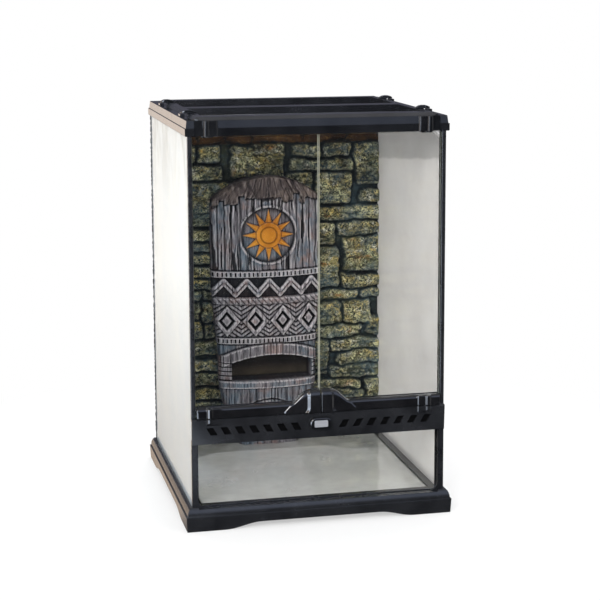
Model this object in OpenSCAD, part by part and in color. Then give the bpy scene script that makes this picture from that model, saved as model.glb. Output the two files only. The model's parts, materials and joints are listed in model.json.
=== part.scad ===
// Front opening glass terrarium with a screen lid, a moulded rock wall and a carved hide panel.
// X runs to the right, Y to the back and Z up. The origin is the middle of the base, on the ground.

/* [Tank] */
// Width over the side panes
tank_w = 300; // [270:5:340]
// Depth over the panes and the front trim
tank_d = 300; // [280:5:340]
// Height to the top of the top frame
tank_h = 471; // [460:1:520]
// Thickness of the fixed panes
pane_t = 4; // [3:0.5:5]
// Gap between a pane and the channel that holds it
pane_gap = 0.2; // [0.1:0.1:0.3]
// Thickness of the silicone between two panes
seam_t = 0.6; // [0.4:0.1:1]
// Leg of the silicone fillet inside a corner
seam_leg = 4; // [3:0.5:5]

/* [Base frame] */
// Height of the base frame at the panes
base_h = 28; // [26:1:32]
// Height of the near vertical band
band_h = 17; // [15:1:19]
// Overhang of the band beyond the panes
band_over = 8.2; // [7:0.2:10]
// Draft of the band, narrower at the ground
band_draft = 1; // [0:0.2:2]
// Step from the band in to the shoulder
band_step = 1.5; // [0.5:0.5:2.5]
// Flat left on top of the shoulder
shoulder_flat = 1; // [0.5:0.5:2]
// Length of a foot along each side
foot_l = 45; // [35:1:60]
// Length of the curve from a foot to the arch
foot_curve_l = 43; // [25:1:50]
// Height of the arch under each side
arch_h = 7; // [4:0.5:9]
// Height of the channel bottom that the panes stand on
channel_z = 14; // [13:0.5:15]
// Thickness of the deck under the channel
deck_t = 2.5; // [2:0.5:3]
// Outer wall of the base frame beside its pockets
base_wall = 2.8; // [2:0.2:4]
// Thickness of the inner lip of the channel
lip_t = 9; // [3:0.2:9.8]
// Width of the ledge under the floor glass
ledge_w = 4.8; // [3:0.2:8]
// Height of the top of the floor glass
floor_z = 24; // [22:0.5:25]
// Rise of the inner lip above the floor glass
lip_rise = 2; // [1:0.5:3]

/* [Front window] */
// Thickness of the front trim
trim_t = 3.5; // [3:0.5:5]
// Width of the trim posts beside the window
post_w = 7; // [6:0.5:10]
// Height of the window sill
sill_z = 25.5; // [24:0.5:27]
// Height of the window top, where the vent strip begins
window_top_z = 101; // [90:1:110]
// Radius of the lower window corners
window_r = 10; // [4:1:14]

/* [Vent strip] */
// Height of the vent strip
vent_h = 30; // [28:1:36]
// How far the strip's top edge stands proud of the trim
vent_proud = 4; // [3.5:0.1:4.5]
// How far the strip's bottom edge stands proud of the trim
vent_foot_proud = 2; // [1:0.5:3]
// Bevel on the strip's top edge
vent_bevel = 1.2; // [0.6:0.2:1.6]
// Thickness of the strip's top wall
vent_top_t = 2.6; // [2:0.2:3]
// Thickness of the strip's bottom wall
vent_bottom_t = 5; // [4:0.5:6]
// Depth of the groove that takes the top of the front glass
vent_groove = 2.4; // [1.5:0.1:3]
// Depth of the strip behind the front of the trim
vent_depth = 10; // [9:0.5:12]
// Number of slots in each group
slot_count = 7; // [3:1:8]
// Distance between slots
slot_pitch = 16.4; // [14:0.2:17]
// Width of a slot
slot_w = 8; // [6:0.5:9]
// Height of a slot
slot_h = 9; // [6:0.5:9]
// Sideways lean of a slot over its height
slot_lean = 5; // [2:0.5:6]
// Distance of the first slot from the middle
slot_first = 28.5; // [26:0.5:32]
// Height of the slots' middle above the bottom of the strip
slot_mid_h = 15; // [13:0.5:15]
// Thickness of the mesh sheets
mesh_t = 0.6; // [0.4:0.1:1]
// Columns of gaps in each vent mesh
vent_cols = 16; // [8:1:18]
// Rows of gaps in each vent mesh
vent_rows = 3; // [2:1:3]
// Width of the wires of the vent meshes
vent_wire = 1.2; // [0.8:0.1:2]

/* [Side trims] */
// Width of the trims beside the doors
edge_w = 4.8; // [4.5:0.1:6]
// Length of the trims' inner leg along the side pane
edge_leg_l = 9; // [6:0.5:12]
// Thickness of the trims' inner leg
edge_leg_t = 0.6; // [0.4:0.1:0.8]

/* [Doors] */
// Thickness of the door glass
door_t = 4; // [3:0.5:5]
// Setback of the door glass from the front of the trims
door_set = 1.5; // [1.4:0.1:2]
// Gap between the two doors
door_seam = 1.5; // [1:0.1:3]
// Gap between a door and the trim beside it
door_side_gap = 0.7; // [0.6:0.1:1.2]
// Gap above the vent strip and below the top frame
door_end_gap = 0.8; // [0.5:0.1:1.2]
// Height of the door rails
rail_h = 12.4; // [10:0.2:14]
// How far the rails stand proud of the front of the trims
rail_proud = 5; // [4.5:0.5:6]
// Thickness of the rail behind the glass
rail_back_t = 1.8; // [1.2:0.2:2.4]
// Thickness of the rail under the glass
rail_floor_t = 2.5; // [2:0.5:3.5]
// Width of one half of the handle
handle_w = 40; // [34:1:44]
// Height of the handle above the rail's bottom
handle_h = 26.9; // [22:0.1:32]
// Half width of the flat crown of the handle
handle_crown = 8; // [5:0.5:10]
// Radius from the crown down to the flank
handle_r = 23.2; // [18:0.2:25]
// Half width of the raised pad across both handles
pad_w = 13; // [10:0.5:16]
// How far the raised pad stands proud of the front of the trims
pad_proud = 8; // [7.6:0.1:8.1]
// Width of the sloped sides of the raised pad
pad_slope_w = 3.5; // [2:0.5:5]
// Radius of the foot that flares out under the sloped side
flare_r = 3.2; // [2:0.2:4]

/* [Door hinges] */
// Distance of the hinge pins from the outer face of the side pane
hinge_inset = 23; // [22:0.5:26]
// How far the hinge pins stand in front of the trims
hinge_fore = 1; // [0.8:0.1:1.4]
// Diameter of the hinge pins
pin_d = 3; // [2:0.2:3.2]
// Radial clearance of a pin in its bore
pin_gap = 0.05; // [0.02:0.01:0.09]
// Length of a pin inside the frame
pin_reach = 6; // [4:0.5:7]
// Length of a pin inside the door
pin_seat = 5; // [3:0.5:6]
// Width of the hinge pad, from the pins inwards
hinge_pad_w = 11.5; // [10:0.5:14]
// Width of the hinge pad, from the pins outwards
hinge_side_w = 6; // [5.5:0.5:7]
// Width of the knuckle, from the pins inwards
knuckle_w = 1.5; // [1:0.5:3]
// How far the hinge pads stand proud of the front of the trims
hinge_pad_proud = 6; // [5.8:0.1:6.4]
// How far the knuckles stand proud of the front of the trims
knuckle_proud = 8.2; // [7.6:0.1:8.2]
// Radius of the upright edges of pads and knuckles
knuckle_r = 3.4; // [1:0.2:3.6]
// Height of the fixed knuckle on the vent strip
vent_knuckle_h = 9.5; // [8.5:0.5:10]
// Radius of the turning disc on a top hinge cap
cap_r = 4; // [3.4:0.1:4.2]
// Height of the disc inside the top frame
cap_h = 3.7; // [3:0.1:4.5]
// Clearance round the disc
cap_gap = 0.3; // [0.2:0.1:0.4]
// Length of the cap's grip along the glass
cap_grip_w = 12; // [10:0.5:16]
// Height of the cap's grip down over the glass
cap_grip_h = 1.6; // [1.2:0.2:4]
// Wall of the cap's grip
cap_wall = 1.2; // [0.8:0.1:1.4]

/* [Latch] */
// Height of the knob's middle above the bottom of the strip
latch_mid_h = 17.4; // [16.6:0.1:17.4]
// Length of the knob
knob_l = 25.6; // [20:0.2:25.8]
// Height of the knob
knob_h = 14; // [11:0.5:15]
// How far the knob's front stands proud of the trims
knob_proud = 8.2; // [7.8:0.1:8.2]
// Gap between the knob and the strip
knob_gap = 0.4; // [0.2:0.1:0.5]
// Radius of the knob's crowned front
knob_crown_r = 45; // [35:1:60]
// Diameter of the latch shaft
shaft_d = 6; // [4:0.5:7]
// Length of the cam from the shaft's middle
cam_l = 17; // [15.5:0.5:18]
// Width of the cam
cam_w = 7; // [5:0.5:8]
// Thickness of the cam
cam_t = 2; // [1.5:0.1:2.2]
// Gap between the cam and the door rails
cam_gap = 0.5; // [0.3:0.1:0.8]
// Length of the catch on each rail that the cam turns into
catch_l = 8; // [6:0.5:10]
// Wall of the catch
catch_t = 2; // [1.6:0.1:2.4]
// Outer diameter of the ring that holds the shaft in
ring_d = 10; // [9:0.5:12]
// Thickness of that ring
ring_t = 1; // [0.8:0.1:1.5]

/* [Top frame] */
// Height of the top frame
top_h = 17.7; // [16:0.1:20]
// Height of the frame's lower band
top_band_h = 8.4; // [7.5:0.1:10]
// Overhang of the lower band beyond the panes
top_over = 3; // [2.5:0.1:3.5]
// Step from the lower band in to the upper part
top_step = 1.2; // [0.4:0.1:1.6]
// Inward slope of the upper part
top_taper = 1; // [0.4:0.1:1.2]
// Depth of the channel that takes the panes
top_channel_h = 4; // [3:0.5:5]
// Width of the ledge that carries the lid
lid_ledge_w = 6; // [5:0.5:7]
// Width of the frame's strip behind the lid
rear_strip_w = 19; // [18:0.5:22]
// Width of the front corner blocks
corner_block_w = 10.6; // [9:0.2:12]
// Depth of the recess between a corner block and a hinge pad
recess_t = 2.5; // [1.5:0.5:3]

/* [Screen lid] */
// Height of the lid
lid_h = 8.7; // [8:0.1:10]
// How far the lid stands above the top frame
lid_rise = 3; // [2.5:0.1:3.5]
// Gap between the lid and the top frame
lid_gap = 0.3; // [0.2:0.1:0.4]
// Width of the lid's side rails
lid_rail_w = 13; // [12.6:0.1:14]
// Width of the lid's front bar
lid_front_w = 24; // [18:1:30]
// Width of the lid's middle bar
lid_mid_w = 24; // [16:1:30]
// Width of the lid's rear bar
lid_rear_w = 22; // [16:1:30]
// Width of the sloped edge round the lid
lid_slope_w = 5; // [3:0.5:6]
// Wall of the lid's hollow bars
lid_wall = 2; // [1.6:0.1:2.4]
// Thickness of the top of the bars
lid_skin = 2.6; // [2.2:0.1:3]
// Radius of the lid's corners
lid_r = 8; // [4:1:12]
// Gaps in the lid mesh along each way
lid_cols = 14; // [6:1:17]
// Width of the wires of the lid mesh
lid_wire = 2.6; // [2:0.1:4]

/* [Lid clips] */
// Distance of the clips from the middle of the lid
clip_y = 82; // [60:1:95]
// Length of a clip
clip_l = 19; // [17:0.5:22]
// Radius of a clip's round outer end
clip_r = 5; // [4:0.2:5.6]
// Half width of a clip's inner tip
clip_tip = 2; // [1.4:0.2:3]
// Height of a clip
clip_h = 3.9; // [3:0.1:5]
// How far a clip reaches over the top frame
clip_reach = 5.3; // [5:0.1:5.6]
// Travel of a clip
clip_travel = 5.6; // [4:0.1:5.8]
// Width of a clip's stem along its travel
stem_w = 2.2; // [1.8:0.1:2.3]
// Length of a clip's stem across its travel
stem_l = 4; // [3:0.5:6]
// Height of the keeper blocks on the top frame
keeper_h = 2.7; // [2:0.1:2.9]

/* [Cable gates] */
// Distance of a cable slot's inner end from the middle
slot_x = 60; // [50:1:66]
// Length of a cable slot
cable_slot_l = 30; // [20:1:34]
// Depth of a cable slot
cable_slot_d = 8; // [6:0.5:9]
// How far a gate overlaps its slot
gate_lap = 3; // [2:0.5:4]
// Thickness of a gate
gate_t = 1.7; // [1.4:0.1:2]
// Gap round a gate
gate_gap = 0.3; // [0.2:0.1:0.4]
// Thickness of the lips that hold a gate down
gate_lip_t = 1.5; // [1.2:0.1:1.8]
// Width of those lips
gate_lip_w = 1.5; // [1:0.1:1.6]
// Height of the grip on a gate
gate_grip_h = 2.4; // [2:0.1:3]

/* [Rock wall] */
// Thickness of the wall's backing
wall_t = 11.5; // [9:0.5:14]
// Gap between the wall and the panes
wall_gap = 0.3; // [0.2:0.1:0.5]
// Gap between the top of the wall and the top frame
wall_head = 9; // [6:0.5:24]
// Number of courses of stone
course_count = 21; // [16:1:25]
// Mean length of a stone
stone_l = 44; // [36:1:60]
// Width of the joints between stones
joint_w = 3.4; // [2:0.2:5]
// Least depth of a stone beyond the backing
stone_min = 7; // [5:0.5:8]
// Difference between the deepest stone and the least deep
stone_spread = 4; // [2:0.5:6]
// Largest tilt of a stone's face, in degrees
stone_tilt = 5; // [0:0.5:6]
// Depth of a stone's root in the backing
stone_root = 3; // [2:0.5:4]
// Unevenness of the courses, as a part of their height
course_wave = 0.4; // [0:0.05:0.5]
// Height of the plain band along the top of the wall
wall_band_h = 30; // [16:1:36]

/* [Carved panel] */
// Width of the carved panel
panel_w = 144; // [136:1:150]
// Width of the panel beside the hide
panel_low_w = 128; // [124:1:134]
// Width of the panel where it stands on the floor
panel_foot_w = 78; // [60:1:100]
// Height at which the foot of the panel reaches its width beside the hide
panel_foot_h = 72; // [50:1:76]
// Place of the panel's middle
panel_x = -8; // [-24:1:10]
// Height of the top of the panel
panel_top_z = 375; // [360:1:400]
// Radius of the panel's arched top
panel_top_r = 103; // [80:1:130]
// Thickness of the panel in its middle
panel_t = 38; // [32:1:42]
// Radius of the panel's crowned front
panel_crown_r = 170; // [130:5:260]
// Gap between the panel and the stones
panel_gap = 1; // [0.5:0.5:3]
// Height of the bands that stand proud of the panel
relief_t = 3; // [1.5:0.5:3.5]
// Depth of the grooves carved in the panel
groove_t = 1.6; // [0.8:0.2:2.4]
// Width of the grooves carved in the panel
groove_w = 1.6; // [1:0.2:2.4]
// Distance between the upright grooves
groove_pitch = 9.2; // [7:0.2:14]
// Height of the sill of the hide
hide_z = 109; // [104:1:120]
// Distance of the mouth of the hide to the right of the panel's middle
hide_shift = 5; // [0:0.5:6]
// Width of the mouth of the hide
hide_w = 106; // [80:1:108]
// Height of the hide at its sides
hide_side_h = 24; // [18:1:34]
// Height of the hide in its middle
hide_mid_h = 34; // [30:1:46]
// Thickness of the panel behind the hide
hide_back_t = 5; // [4:1:10]
// Height of the middle of the sun rosette
sun_z = 300; // [284:1:314]
// Radius of the sun's disc
sun_r = 17; // [10:0.5:18]
// Radius over the tips of the sun's rays
sun_ray_r = 33; // [26:0.5:34]
// Number of rays
sun_rays = 12; // [8:1:16]
// Height of the zigzag band's middle
zigzag_z = 232; // [220:1:238]
// Height of the zigzag
zigzag_h = 22; // [14:1:26]
// Number of teeth in the zigzag
zigzag_count = 5; // [4:1:7]
// Height of the lattice band's middle
lattice_z = 182; // [176:1:186]
// Height of the diamonds in the lattice band
lattice_h = 26; // [18:1:30]
// Number of diamonds in the lattice band
lattice_count = 4; // [3:1:5]

/* [Hidden] */
$fn = 48;
eps = 0.01;
far = 2000;

// Small fixed sizes: edge breaks, walls behind bores and laps
edge_break = 0.5;
knuckle_wall = 1.6;
cap_roof = 0.8;
mesh_lap = 5;
trim_leg_back = 1.5;
trim_corner_r = 0.8;

// Planes of the panes
half_w = tank_w / 2;
half_d = tank_d / 2;
front_y = -half_d;
in_x = half_w - pane_t;
back_in_y = half_d - pane_t;
trim_back_y = front_y + trim_t;
front_pane_y = trim_back_y + pane_gap;
front_in_y = front_pane_y + pane_t;
top_z0 = tank_h - top_h;
pane_top_z = top_z0 + top_channel_h - pane_gap;

// Inner lip of the base frame
lip_in_x = in_x - pane_gap - lip_t;
lip_back_y = back_in_y - pane_gap - lip_t;
lip_front_y = front_in_y + pane_gap + lip_t;
lip_top_z = floor_z + lip_rise;
ledge_z = floor_z - pane_t;

// Vent strip
vent_z0 = window_top_z;
vent_z1 = window_top_z + vent_h;
vent_wall_y = front_y;
vent_back_y = front_y + vent_depth;
vent_top_short = 3.3;
vent_top_back_y = vent_back_y - vent_top_short;
vent_slot_z = vent_z0 + slot_mid_h;
vent_mesh_z0 = vent_z0 + vent_bottom_t + pane_gap;
vent_mesh_z1 = vent_z1 - vent_knuckle_h - pane_gap;
latch_z = vent_z0 + latch_mid_h;

// Doors
door_out_x = half_w - edge_w - door_side_gap;
door_in_x = door_seam / 2;
door_front_y = front_y + door_set;
door_back_y = door_front_y + door_t;
rail_z0 = vent_z1 + door_end_gap;
rail_z1 = rail_z0 + rail_h;
rail_back_y = door_back_y + pane_gap + rail_back_t;
door_z0 = rail_z0 + rail_floor_t;
cap_z1 = top_z0 - cap_gap;
cap_z0 = cap_z1 - cap_grip_h;
door_z1 = cap_z1 - cap_roof;
hinge_x = half_w - hinge_inset;
hinge_y = front_y - hinge_fore;

// Latch
cam_y0 = rail_back_y + cam_gap;
knob_back_y = front_y - vent_proud - knob_gap;

// Top frame and lid
lid_inset = 2.8;
lid_front_inset = 3.5;
lid_x = in_x - pane_gap - lid_inset;
lid_y0 = front_y + lid_front_inset;
lid_y1 = half_d - rear_strip_w;
lid_z1 = tank_h + lid_rise;
lid_z0 = lid_z1 - lid_h;
lid_ledge_z = lid_z0 - lid_gap;
lid_in_x = lid_x - lid_rail_w;
lid_len = lid_y1 - lid_y0;
lid_mid_y = (lid_y0 + lid_y1) / 2;
bay_front_y0 = lid_y0 + lid_front_w;
bay_front_y1 = lid_mid_y - lid_mid_w / 2;
bay_rear_y0 = lid_mid_y + lid_mid_w / 2;
bay_rear_y1 = lid_y1 - lid_rear_w;
clip_out_x = lid_x + clip_reach;
stem_gap = 0.3;
stem_foot_w = 2;
stem_play = 0.4;
stem_out_x = lid_x - lid_wall - stem_play;
pocket_top_z = lid_z1 - lid_skin;

// Cable slots behind the lid
cable_wall = 1.5;
cable_y = lid_y1 + lid_gap + cable_wall + gate_lip_w + cable_slot_d / 2;
rib_w = 2;
rib_pitch = 4;
gate_l = cable_slot_l + 2 * gate_lap;
gate_z1 = tank_h - gate_lip_t - gate_gap;
gate_z0 = gate_z1 - gate_t;

// Rock wall and carved panel
wall_x = in_x - wall_gap;
wall_y1 = back_in_y - wall_gap;
wall_y0 = wall_y1 - wall_t;
wall_z0 = floor_z;
wall_top_z = top_z0 - wall_head;
panel_y0 = wall_y0 - panel_t;
panel_axis_y = panel_y0 + panel_crown_r;
stone_top_z = wall_top_z - wall_band_h;
band_w = 6;
band_gap = 3;
course_h = (stone_top_z - wall_z0) / course_count;

// A repeatable number from 0 to 1 for the place i, j
function chance(i, j) = let (v = sin(i * 127.1 + j * 311.7) * 437.585) v - floor(v);

// An outline closed with its own mirror image across x = 0
function both_sides(p) = concat(p, [for (i = [len(p) - 1 : -1 : 0]) [-p[i][0], p[i][1]]]);

// Extrudes an outline drawn in X and Z along Y, both ways from the middle
module along_y(l) {
  rotate([90, 0, 0])
    linear_extrude(height = l, center = true)
      children();
}

// Extrudes an outline drawn in Y and Z along X, both ways from the middle
module along_x(l) {
  rotate([90, 0, 90])
    linear_extrude(height = l, center = true)
      children();
}

// A block from corner a to corner b
module block(a, b) {
  translate(a)
    cube(b - a);
}

// A rectangle with round corners from corner a to corner b
module round_rect(a, b, r) {
  translate([a[0] + r, a[1]])
    square([b[0] - a[0] - 2 * r, b[1] - a[1]]);
  translate([a[0], a[1] + r])
    square([b[0] - a[0], b[1] - a[1] - 2 * r]);
  for (x = [a[0] + r, b[0] - r])
    for (y = [a[1] + r, b[1] - r])
      translate([x, y])
        circle(r);
}

// Section of the base frame whose panes stand at the given half width
module base_section(half) {
  rise = base_h - band_h;
  reach = band_over - band_step - shoulder_flat;
  shoulder = [for (a = [0 : 18 : 90]) [half + shoulder_flat + reach * cos(a), band_h + rise * sin(a)]];
  band = [[half + band_over - band_draft, 0], [half + band_over, band_h]];
  polygon(both_sides(concat(band, shoulder)));
}

// Arch under one side of the base frame
module arch_section(half) {
  foot_x = half + band_over - foot_l;
  curve = [for (t = [0 : 0.125 : 1]) [foot_x - foot_curve_l * t, arch_h * (1 - cos(180 * t)) / 2]];
  polygon(both_sides(concat([[foot_x, -1]], curve)));
}

// Pockets that hollow the four sides of the base frame from below
module base_pockets() {
  out_x = half_w + band_over - band_draft - base_wall;
  out_y = half_d + band_over - band_draft - base_wall;
  side_x = lip_in_x - ledge_w + base_wall;
  front_edge_y = lip_front_y + ledge_w - base_wall;
  rear_edge_y = lip_back_y - ledge_w + base_wall;
  span_x = half_w + band_over - foot_l;
  span_y = half_d + band_over - foot_l;
  roof_z = channel_z - deck_t;
  block([-span_x, -out_y, -1], [span_x, front_edge_y, roof_z]);
  block([-span_x, rear_edge_y, -1], [span_x, out_y, roof_z]);
  block([-out_x, -span_y, -1], [-side_x, span_y, roof_z]);
  block([side_x, -span_y, -1], [out_x, span_y, roof_z]);
}

module base_frame() {
  color("#1c1d20")
    difference() {
      intersection() {
        along_y(far)
          base_section(half_w);
        along_x(far)
          base_section(half_d);
      }
      difference() {
        block([-half_w - pane_gap, front_y - pane_gap, channel_z], [half_w + pane_gap, half_d + pane_gap, far]);
        block([-lip_in_x - lip_t, lip_front_y - lip_t, 0], [lip_in_x + lip_t, lip_back_y + lip_t, lip_top_z]);
      }
      block([-lip_in_x, lip_front_y, ledge_z], [lip_in_x, lip_back_y, far]);
      block([-lip_in_x + ledge_w, lip_front_y + ledge_w, -1], [lip_in_x - ledge_w, lip_back_y - ledge_w, far]);
      block([-half_w + post_w, -far, sill_z], [half_w - post_w, trim_back_y, far]);
      along_y(far)
        arch_section(half_w);
      along_x(far)
        arch_section(half_d);
      base_pockets();
    }
}

module floor_glass() {
  color("#b9c6bf", 0.5)
    block([-lip_in_x + pane_gap, lip_front_y + pane_gap, ledge_z],
      [lip_in_x - pane_gap, lip_back_y - pane_gap, floor_z]);
}

module side_glass(s) {
  color("#dfe8e4", 0.4)
    block([s > 0 ? in_x : -half_w, front_pane_y, channel_z], [s > 0 ? half_w : -in_x, half_d, pane_top_z]);
}

module back_glass() {
  color("#dfe8e4", 0.4)
    block([-in_x + seam_t, back_in_y, channel_z], [in_x - seam_t, half_d, pane_top_z]);
}

module front_lower_glass() {
  color("#dfe8e4", 0.4)
    block([-in_x + seam_t, front_pane_y, channel_z],
      [in_x - seam_t, front_in_y, vent_z0 + vent_groove - pane_gap]);
}

// Silicone between two panes in a corner, with its fillet on the inside
module seam_section(face_y, turn) {
  edge_y = face_y + turn * pane_t;
  inner = [in_x - seam_t - seam_leg, face_y];
  tip = [in_x, face_y - turn * seam_leg];
  polygon([[in_x - seam_t, edge_y], [in_x, edge_y], tip, inner, [in_x - seam_t, face_y]]);
}

module silicone_seams() {
  color("#2b2d2e")
    for (s = [0, 1])
      mirror([s, 0, 0]) {
        translate([0, 0, lip_top_z])
          linear_extrude(height = top_z0 - lip_top_z)
            seam_section(back_in_y, 1);
        translate([0, 0, lip_top_z])
          linear_extrude(height = vent_z0 - lip_top_z)
            seam_section(front_in_y, -1);
      }
}

// Outline of the front window, with its lower corners round
module window_outline() {
  edge = half_w - post_w;
  translate([-edge, sill_z + window_r])
    square([2 * edge, far]);
  round_rect([-edge, sill_z], [edge, sill_z + 3 * window_r], window_r);
}

module front_window_trim() {
  color("#17181b")
    translate([0, (front_y + trim_back_y) / 2, 0])
      along_y(trim_t)
        difference() {
          translate([-half_w, channel_z])
            square([tank_w, window_top_z - channel_z]);
          window_outline();
        }
}

module edge_trim(s) {
  leg_x = in_x - pane_gap - edge_leg_t;
  color("#17181b")
    mirror([s > 0 ? 0 : 1, 0, 0])
      translate([0, 0, vent_z1])
        linear_extrude(height = top_z0 - vent_z1) {
          difference() {
            round_rect([half_w - edge_w, front_y], [half_w, trim_back_y + trim_leg_back], trim_corner_r);
            translate([half_w - edge_w - 1, trim_back_y])
              square([edge_w + 2, 2 * trim_leg_back]);
          }
          translate([leg_x, trim_back_y - 1])
            square([edge_leg_t, edge_leg_l]);
        }
}

// Plan of a hinge: a wide pad with a knuckle beside the pin, drawn for the right side
module hinge_plan(back_y, grow) {
  x0 = hinge_x - hinge_pad_w - grow;
  x1 = hinge_x + hinge_side_w + grow;
  round_rect([x0, front_y - hinge_pad_proud - grow], [x1, back_y], knuckle_r);
  round_rect([hinge_x - knuckle_w - grow, front_y - knuckle_proud], [x1, back_y], knuckle_r);
}

// Section of the vent strip: a slanted front with a top and a bottom wall behind it
module vent_section() {
  top_y = front_y - vent_proud;
  difference() {
    polygon([[front_y - vent_foot_proud, vent_z0], [top_y, vent_z1 - vent_bevel],
      [top_y + vent_bevel, vent_z1], [vent_top_back_y, vent_z1], [vent_top_back_y, vent_z1 - vent_top_t],
      [vent_wall_y, vent_z1 - vent_top_t], [vent_wall_y, vent_z0 + vent_bottom_t],
      [vent_back_y, vent_z0 + vent_bottom_t], [vent_back_y, vent_z0]]);
    translate([front_pane_y - pane_gap, vent_z0 - 1])
      square([pane_t + 2 * pane_gap, vent_groove + 1]);
  }
}

// Outline of the two groups of slots, leaning towards the middle
module vent_slots() {
  for (s = [0, 1])
    mirror([s, 0])
      for (k = [0 : slot_count - 1])
        translate([slot_first + k * slot_pitch, vent_slot_z])
          polygon([[-slot_w / 2 - slot_lean / 2, -slot_h / 2], [slot_w / 2 - slot_lean / 2, -slot_h / 2],
            [slot_w / 2 + slot_lean / 2, slot_h / 2], [-slot_w / 2 + slot_lean / 2, slot_h / 2]]);
}

// Fixed knuckle of a door hinge on the vent strip, faired into its front below
module vent_knuckle() {
  z0 = vent_z1 - vent_knuckle_h;
  intersection() {
    translate([0, 0, z0])
      linear_extrude(height = vent_knuckle_h)
        hinge_plan(hinge_y + pin_d / 2 + knuckle_wall, 0);
    along_x(far)
      polygon([[front_y - vent_foot_proud, z0], [front_y - knuckle_proud, z0 + vent_knuckle_h * 0.6],
        [front_y - knuckle_proud, vent_z1], [0, vent_z1], [0, z0]]);
  }
}

module vent_strip() {
  color("#1a1b1e")
    difference() {
      union() {
        intersection() {
          along_x(tank_w)
            vent_section();
          union() {
            block([-half_w, -far, 0], [half_w, trim_back_y, far]);
            block([-in_x + seam_t + pane_gap, -far, 0], [in_x - seam_t - pane_gap, 0, far]);
          }
        }
        for (s = [0, 1])
          mirror([s, 0, 0])
            vent_knuckle();
      }
      translate([0, front_y - vent_proud, 0])
        along_y(4 * vent_proud)
          vent_slots();
      translate([0, front_y, latch_z])
        rotate([90, 0, 0])
          cylinder(h = 4 * vent_proud, d = shaft_d + 2 * pin_gap, center = true);
      for (s = [-1, 1])
        translate([s * hinge_x, hinge_y, vent_z1 - pin_reach - door_end_gap])
          cylinder(h = far, d = pin_d + 2 * pin_gap);
    }
}

// A flat net drawn as a sheet with square gaps, from corner a to corner b
module net(a, b, cols, rows, wire) {
  gap_w = (b[0] - a[0] - wire * (cols + 1)) / cols;
  gap_h = (b[1] - a[1] - wire * (rows + 1)) / rows;
  difference() {
    translate(a)
      square(b - a);
    for (i = [0 : cols - 1])
      for (j = [0 : rows - 1])
        translate(a + [wire + i * (gap_w + wire), wire + j * (gap_h + wire)])
          square([gap_w, gap_h]);
  }
}

module vent_mesh() {
  x0 = slot_first - slot_w - slot_lean / 2;
  x1 = in_x - seam_t - 2 * pane_gap;
  color("#3a3b3c")
    for (s = [0, 1])
      mirror([s, 0, 0])
        translate([0, vent_wall_y + mesh_t / 2, 0])
          along_y(mesh_t)
            net([x0, vent_mesh_z0], [x1, vent_mesh_z1], vent_cols, vent_rows, vent_wire);
}

module door_glass(s) {
  color("#e4efe9", 0.35)
    mirror([s > 0 ? 0 : 1, 0, 0])
      block([door_in_x, door_front_y, door_z0], [door_out_x, door_back_y, door_z1]);
}

// Section of a door rail, with a bevelled top edge and a channel for the glass
module rail_section() {
  front = front_y - rail_proud;
  bevel_h = 5;
  bevel_w = 4;
  difference() {
    polygon([[front, rail_z0], [front, rail_z1 - bevel_h], [front + bevel_w / 2, rail_z1 - bevel_h / 6],
      [front + bevel_w, rail_z1], [rail_back_y, rail_z1], [rail_back_y, rail_z0]]);
    translate([door_front_y - pane_gap, door_z0])
      square([door_t + 2 * pane_gap, far]);
  }
}

// Front view of one half of the handle: a flat crown, a round shoulder and a 45 degree flank
module handle_outline() {
  top_z = rail_z0 + handle_h;
  shoulder = [for (a = [0 : 9 : 45]) [handle_crown + handle_r * sin(a), top_z - handle_r * (1 - cos(a))]];
  end = shoulder[len(shoulder) - 1];
  drop = handle_w - end[0];
  polygon(concat([[door_in_x, rail_z0], [door_in_x, top_z]], shoulder,
    [[handle_w, end[1] - drop], [handle_w, rail_z0]]));
}

// Plan of one half of the handle: the raised pad, its sloped side and the flank
module handle_plan() {
  pad_y = front_y - pad_proud;
  flank_proud = 0.8;
  low_y = front_y - rail_proud - flank_proud;
  back_y = door_front_y - pane_gap;
  polygon([[door_in_x, pad_y], [pad_w - 4 * edge_break, pad_y], [pad_w, pad_y + edge_break],
    [pad_w + pad_slope_w, low_y], [handle_w, low_y + 0.75 * flank_proud], [handle_w, back_y], [door_in_x, back_y]]);
}

// Side view of the handle: its top edge leans back to the glass
module handle_lean() {
  top_z = rail_z0 + handle_h;
  pad_y = front_y - pad_proud;
  lean_h = 7;
  lean_w = 3.6;
  polygon([[pad_y, rail_z0], [pad_y, top_z - lean_h], [pad_y + lean_w, top_z], [0, top_z], [0, rail_z0]]);
}

module handle_half() {
  intersection() {
    along_y(far)
      handle_outline();
    linear_extrude(height = far)
      handle_plan();
    along_x(far)
      handle_lean();
  }
  intersection() {
    translate([pad_w + 0.8, front_y - pad_proud + flare_r, rail_z0])
      cylinder(h = 6, r1 = flare_r, r2 = 1);
    block([0, -far, 0], [far, door_front_y - pane_gap, far]);
  }
}

// Catch on the back of a rail: the turned cam stands between it and the rail
module rail_catch() {
  x0 = door_in_x + 1;
  y1 = cam_y0 + cam_t + cam_gap;
  z1 = latch_z + cam_l + cam_gap;
  difference() {
    block([x0, rail_back_y - 1, rail_z0], [x0 + catch_l, y1 + catch_t, z1 + catch_t]);
    block([x0 - 1, rail_back_y, 0], [x0 + catch_l + 1, y1, z1]);
  }
}

module door_rail(s) {
  color("#15161a")
    mirror([s > 0 ? 0 : 1, 0, 0])
      difference() {
        union() {
          rail_catch();
          intersection() {
            along_x(far)
              rail_section();
            block([door_in_x, -far, 0], [door_out_x - 0.5, far, far]);
          }
          handle_half();
          translate([0, 0, rail_z0])
            linear_extrude(height = rail_h - 1)
              hinge_plan(door_front_y - pane_gap, 0);
        }
        translate([hinge_x, hinge_y, rail_z0 - 1])
          cylinder(h = pin_seat + 1, d = pin_d + 2 * pin_gap);
      }
}

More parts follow.
